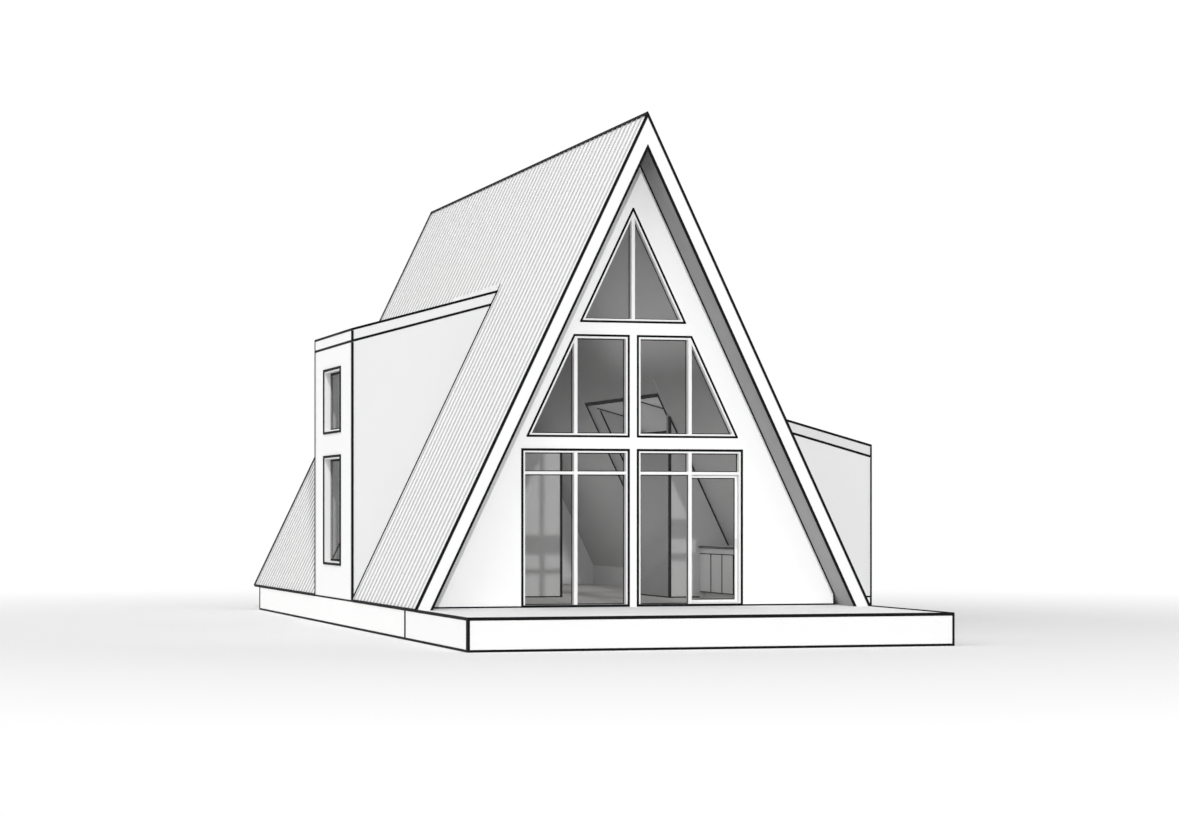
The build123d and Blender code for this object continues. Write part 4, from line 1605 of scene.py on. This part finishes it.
@dataclass(frozen=True)
class Dressing:
    """Gives every CAD node its finish."""

    nodes: tuple[tuple[Finish, str], ...] = (
        (PAINTS.render, "house_foundation wing_foundation"),
        (PAINTS.floor, "floor_finish"),
        (PAINTS.deck_frame, "deck_frame"),
        (PAINTS.deck, "deck_surface"),
        (PAINTS.lining, "left_roof_slope right_roof_slope"),
        (PAINTS.roof, "left_roof_cladding right_roof_cladding"),
        (PAINTS.dark, "ridge_flashing"),
        (PAINTS.wall, "front_wall_left front_wall_right front_wall_post front_wall_band"),
        (PAINTS.wall, "front_wall_upper rear_wall"),
        (PAINTS.inside, "knee_walls room_partitions"),
        (PAINTS.cheek, "left_wing_cheek_walls"),
        (PAINTS.painted_shade_cheek_right, "right_wing_cheek_walls"),
        (PAINTS.wing_wall, "left_wing_outer_wall right_wing_outer_wall"),
        (PAINTS.wing_roof, "left_wing_roof right_wing_roof"),
        (PAINTS.board, "left_wing_fascia right_wing_fascia"),
        (PAINTS.units, "kitchen_units kitchen_doors"),
        (PAINTS.stone, "kitchen_worktop"),
        (PAINTS.rake, "front_left_rake_board front_right_rake_board"),
        (PAINTS.rake, "rear_left_rake_board rear_right_rake_board"),
        (PAINTS.frames, "gable_window_frame upper_window_frames lower_window_frame"),
        (PAINTS.frames, "door_frame sliding_door rear_window_frames wing_window_frames"),
        (PAINTS.glass, "door_glass front_lower_glass front_upper_glass rear_glass wing_glass"),
    )

    def dress(self) -> None:
        """Assigns the finishes and logs each node."""
        finishes = {node: finish for finish, nodes in self.nodes for node in nodes.split()}
        for node, made in frame["nodes"].items():
            material = finishes[node].material()
            if not made.material_slots:
                made.data.materials.append(material)
            for place in made.material_slots:
                place.material = material
            LOG.info("%s: %s", node, finishes[node].name)


# Studio


@dataclass(frozen=True)
class Sun:
    """One distant lamp."""

    name: str
    strength: float
    spread: float
    way: Point

    def light(self) -> None:
        """Adds the lamp."""
        bpy.ops.object.light_add(type="SUN", location=(-20, -40, 30))
        lamp = bpy.context.object
        lamp.name = f"studio_{self.name}"
        lamp.data.energy = self.strength
        lamp.data.angle = math.radians(self.spread)
        lamp.rotation_mode = "QUATERNION"
        lamp.rotation_quaternion = Vector(self.way).to_track_quat("-Z", "Y")


@dataclass(frozen=True)
class RoomLamp:
    """One soft panel inside the cabin; it shines against the cross of its two edges."""

    name: str
    place: Point
    power: float
    size: Point
    along: Point
    across: Point

    def light(self) -> None:
        """Adds the panel."""
        along, across = Vector(self.along), Vector(self.across)
        bpy.ops.object.light_add(type="AREA", location=self.place)
        lamp = bpy.context.object
        lamp.name = f"room_light_{self.name}"
        lamp.data.shape = "RECTANGLE"
        lamp.data.size, lamp.data.size_y = self.size
        lamp.data.energy = self.power
        lamp.rotation_mode = "QUATERNION"
        axes = Matrix((along, across, along.cross(across))).transposed()
        lamp.rotation_quaternion = axes.to_quaternion()
        lamp.visible_camera = False
        lamp.visible_glossy = False


@dataclass
class Studio:
    """The floor, the light and the camera."""

    eye: Point = (-13.03, -43.48, 2.005)
    turn: float = -15.80
    lens: float = 86.79
    sensor: float = 36.0
    rise: float = 0.0872
    sight: float = 500.0
    floor_tone: float = 0.97
    floor_size: float = 400.0
    floor_middle: float = 5.0
    fade_start: float = 10.5
    fade_end: float = 24.0
    sky: float = 0.60
    room_height: float = LINES.floor + 1.6
    lamps: tuple[Sun | RoomLamp, ...] = (
        Sun("key", 1.25, 1.0, (0.16, 1.0, -0.33)),
        Sun("fill", 1.2, 70.0, (1.0, 0.35, -0.35)),
        RoomLamp("left", (1.09, 6.3, room_height), 45.0, (12.0, 2.4), (0, 1, 0), (0, 0, 1)),
        RoomLamp("right", (1.11, 6.3, room_height), 45.0, (12.0, 2.4), (0, -1, 0), (0, 0, 1)),
        RoomLamp("up", (0.3, 3.3, 4.3), 28.0, (6.0, 0.8), (0, 1, 0), (1, 0, 0)),
        RoomLamp("wing", (2.4, 4.9, 3.2), 4.0, (0.5, 0.4), (1, 0, 0), (0, 0, 1)),
    )

    def floor(self) -> None:
        """A pale floor that fades to white away from the cabin."""
        place = (0, self.floor_middle, 0)
        bpy.ops.mesh.primitive_plane_add(size=self.floor_size, location=place)
        made = Piece(bpy.context.object).made
        made.name = "studio_floor"
        graph = Graph("studio_floor")
        back = graph.y - self.floor_middle
        reach = graph.maths("SQRT", graph.x * graph.x + back * back)
        fade = (reach - self.fade_start) / (self.fade_end - self.fade_start)
        fade = fade.larger(0.0).smaller(1.0)
        seen = Value(graph, graph.node("ShaderNodeLightPath").outputs["Is Camera Ray"])
        pale = graph.node("ShaderNodeBsdfDiffuse", {"Color": (*grey(self.floor_tone), 1.0)})
        white = graph.node("ShaderNodeEmission", {"Color": (1.0,) * 4, "Strength": 1.0})
        sources = {0: fade * seen, 1: pale.outputs[0], 2: white.outputs[0]}
        mixed = graph.node("ShaderNodeMixShader", sources)
        graph.node("ShaderNodeOutputMaterial", {"Surface": mixed.outputs[0]})
        made.data.materials.append(graph.material)
        made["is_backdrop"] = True

    def surroundings(self) -> None:
        """White surroundings that light the cabin more softly than they look."""
        world = bpy.data.worlds.new("studio")
        bpy.context.scene.world = world
        world.use_nodes = True
        tree = world.node_tree
        tree.nodes.clear()
        ray = add_node(tree, "ShaderNodeLightPath").outputs
        seen = ray["Is Camera Ray"]
        for other in ("Is Transmission Ray", "Is Glossy Ray"):
            either = {0: seen, 1: ray[other]}
            seen = add_node(tree, "ShaderNodeMath", either, operation="MAXIMUM").outputs[0]
        soft, bright = (
            add_node(tree, "ShaderNodeBackground", {"Color": (1.0,) * 4, "Strength": strength})
            for strength in (self.sky, 1.0)
        )
        sources = {0: seen, 1: soft.outputs[0], 2: bright.outputs[0]}
        mixed = add_node(tree, "ShaderNodeMixShader", sources)
        add_node(tree, "ShaderNodeOutputWorld", {"Surface": mixed.outputs[0]})

    def camera(self) -> None:
        """The camera, level, with its view shifted up."""
        turn = (math.pi / 2, 0, math.radians(self.turn))
        bpy.ops.object.camera_add(location=self.eye, rotation=turn)
        made = bpy.context.object
        made.name = "camera"
        made.data.lens = self.lens
        made.data.sensor_width = self.sensor
        made.data.shift_y = self.rise
        made.data.clip_end = self.sight
        bpy.context.scene.camera = made

    def build(self) -> None:
        """Sets up the whole studio."""
        bpy.context.scene.view_settings.view_transform = "Standard"
        self.camera()
        self.surroundings()
        for lamp in self.lamps:
            lamp.light()
        self.floor()


def cleared() -> Box:
    """Removes what a new file holds besides the frame.

    Returns:
        The frame's own lowest and highest corner.
    """
    kept = {*frame["nodes"].values(), *frame["bodies"].values()}
    for other in [o for o in bpy.data.objects if o not in kept]:
        bpy.data.objects.remove(other)
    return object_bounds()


def main() -> None:
    """Builds the studio and the cabin's pieces in order."""
    logging.basicConfig(level=logging.INFO, format="%(name)s %(message)s")
    cad_box = cleared()
    Studio().build()
    Dressing().dress()
    for trim in (RoofTrim(), BaseTrim(), *WINGS, Surrounds(), Glazing(), InsideTrim()):
        trim.build()


if __name__ == "__main__":
    main()
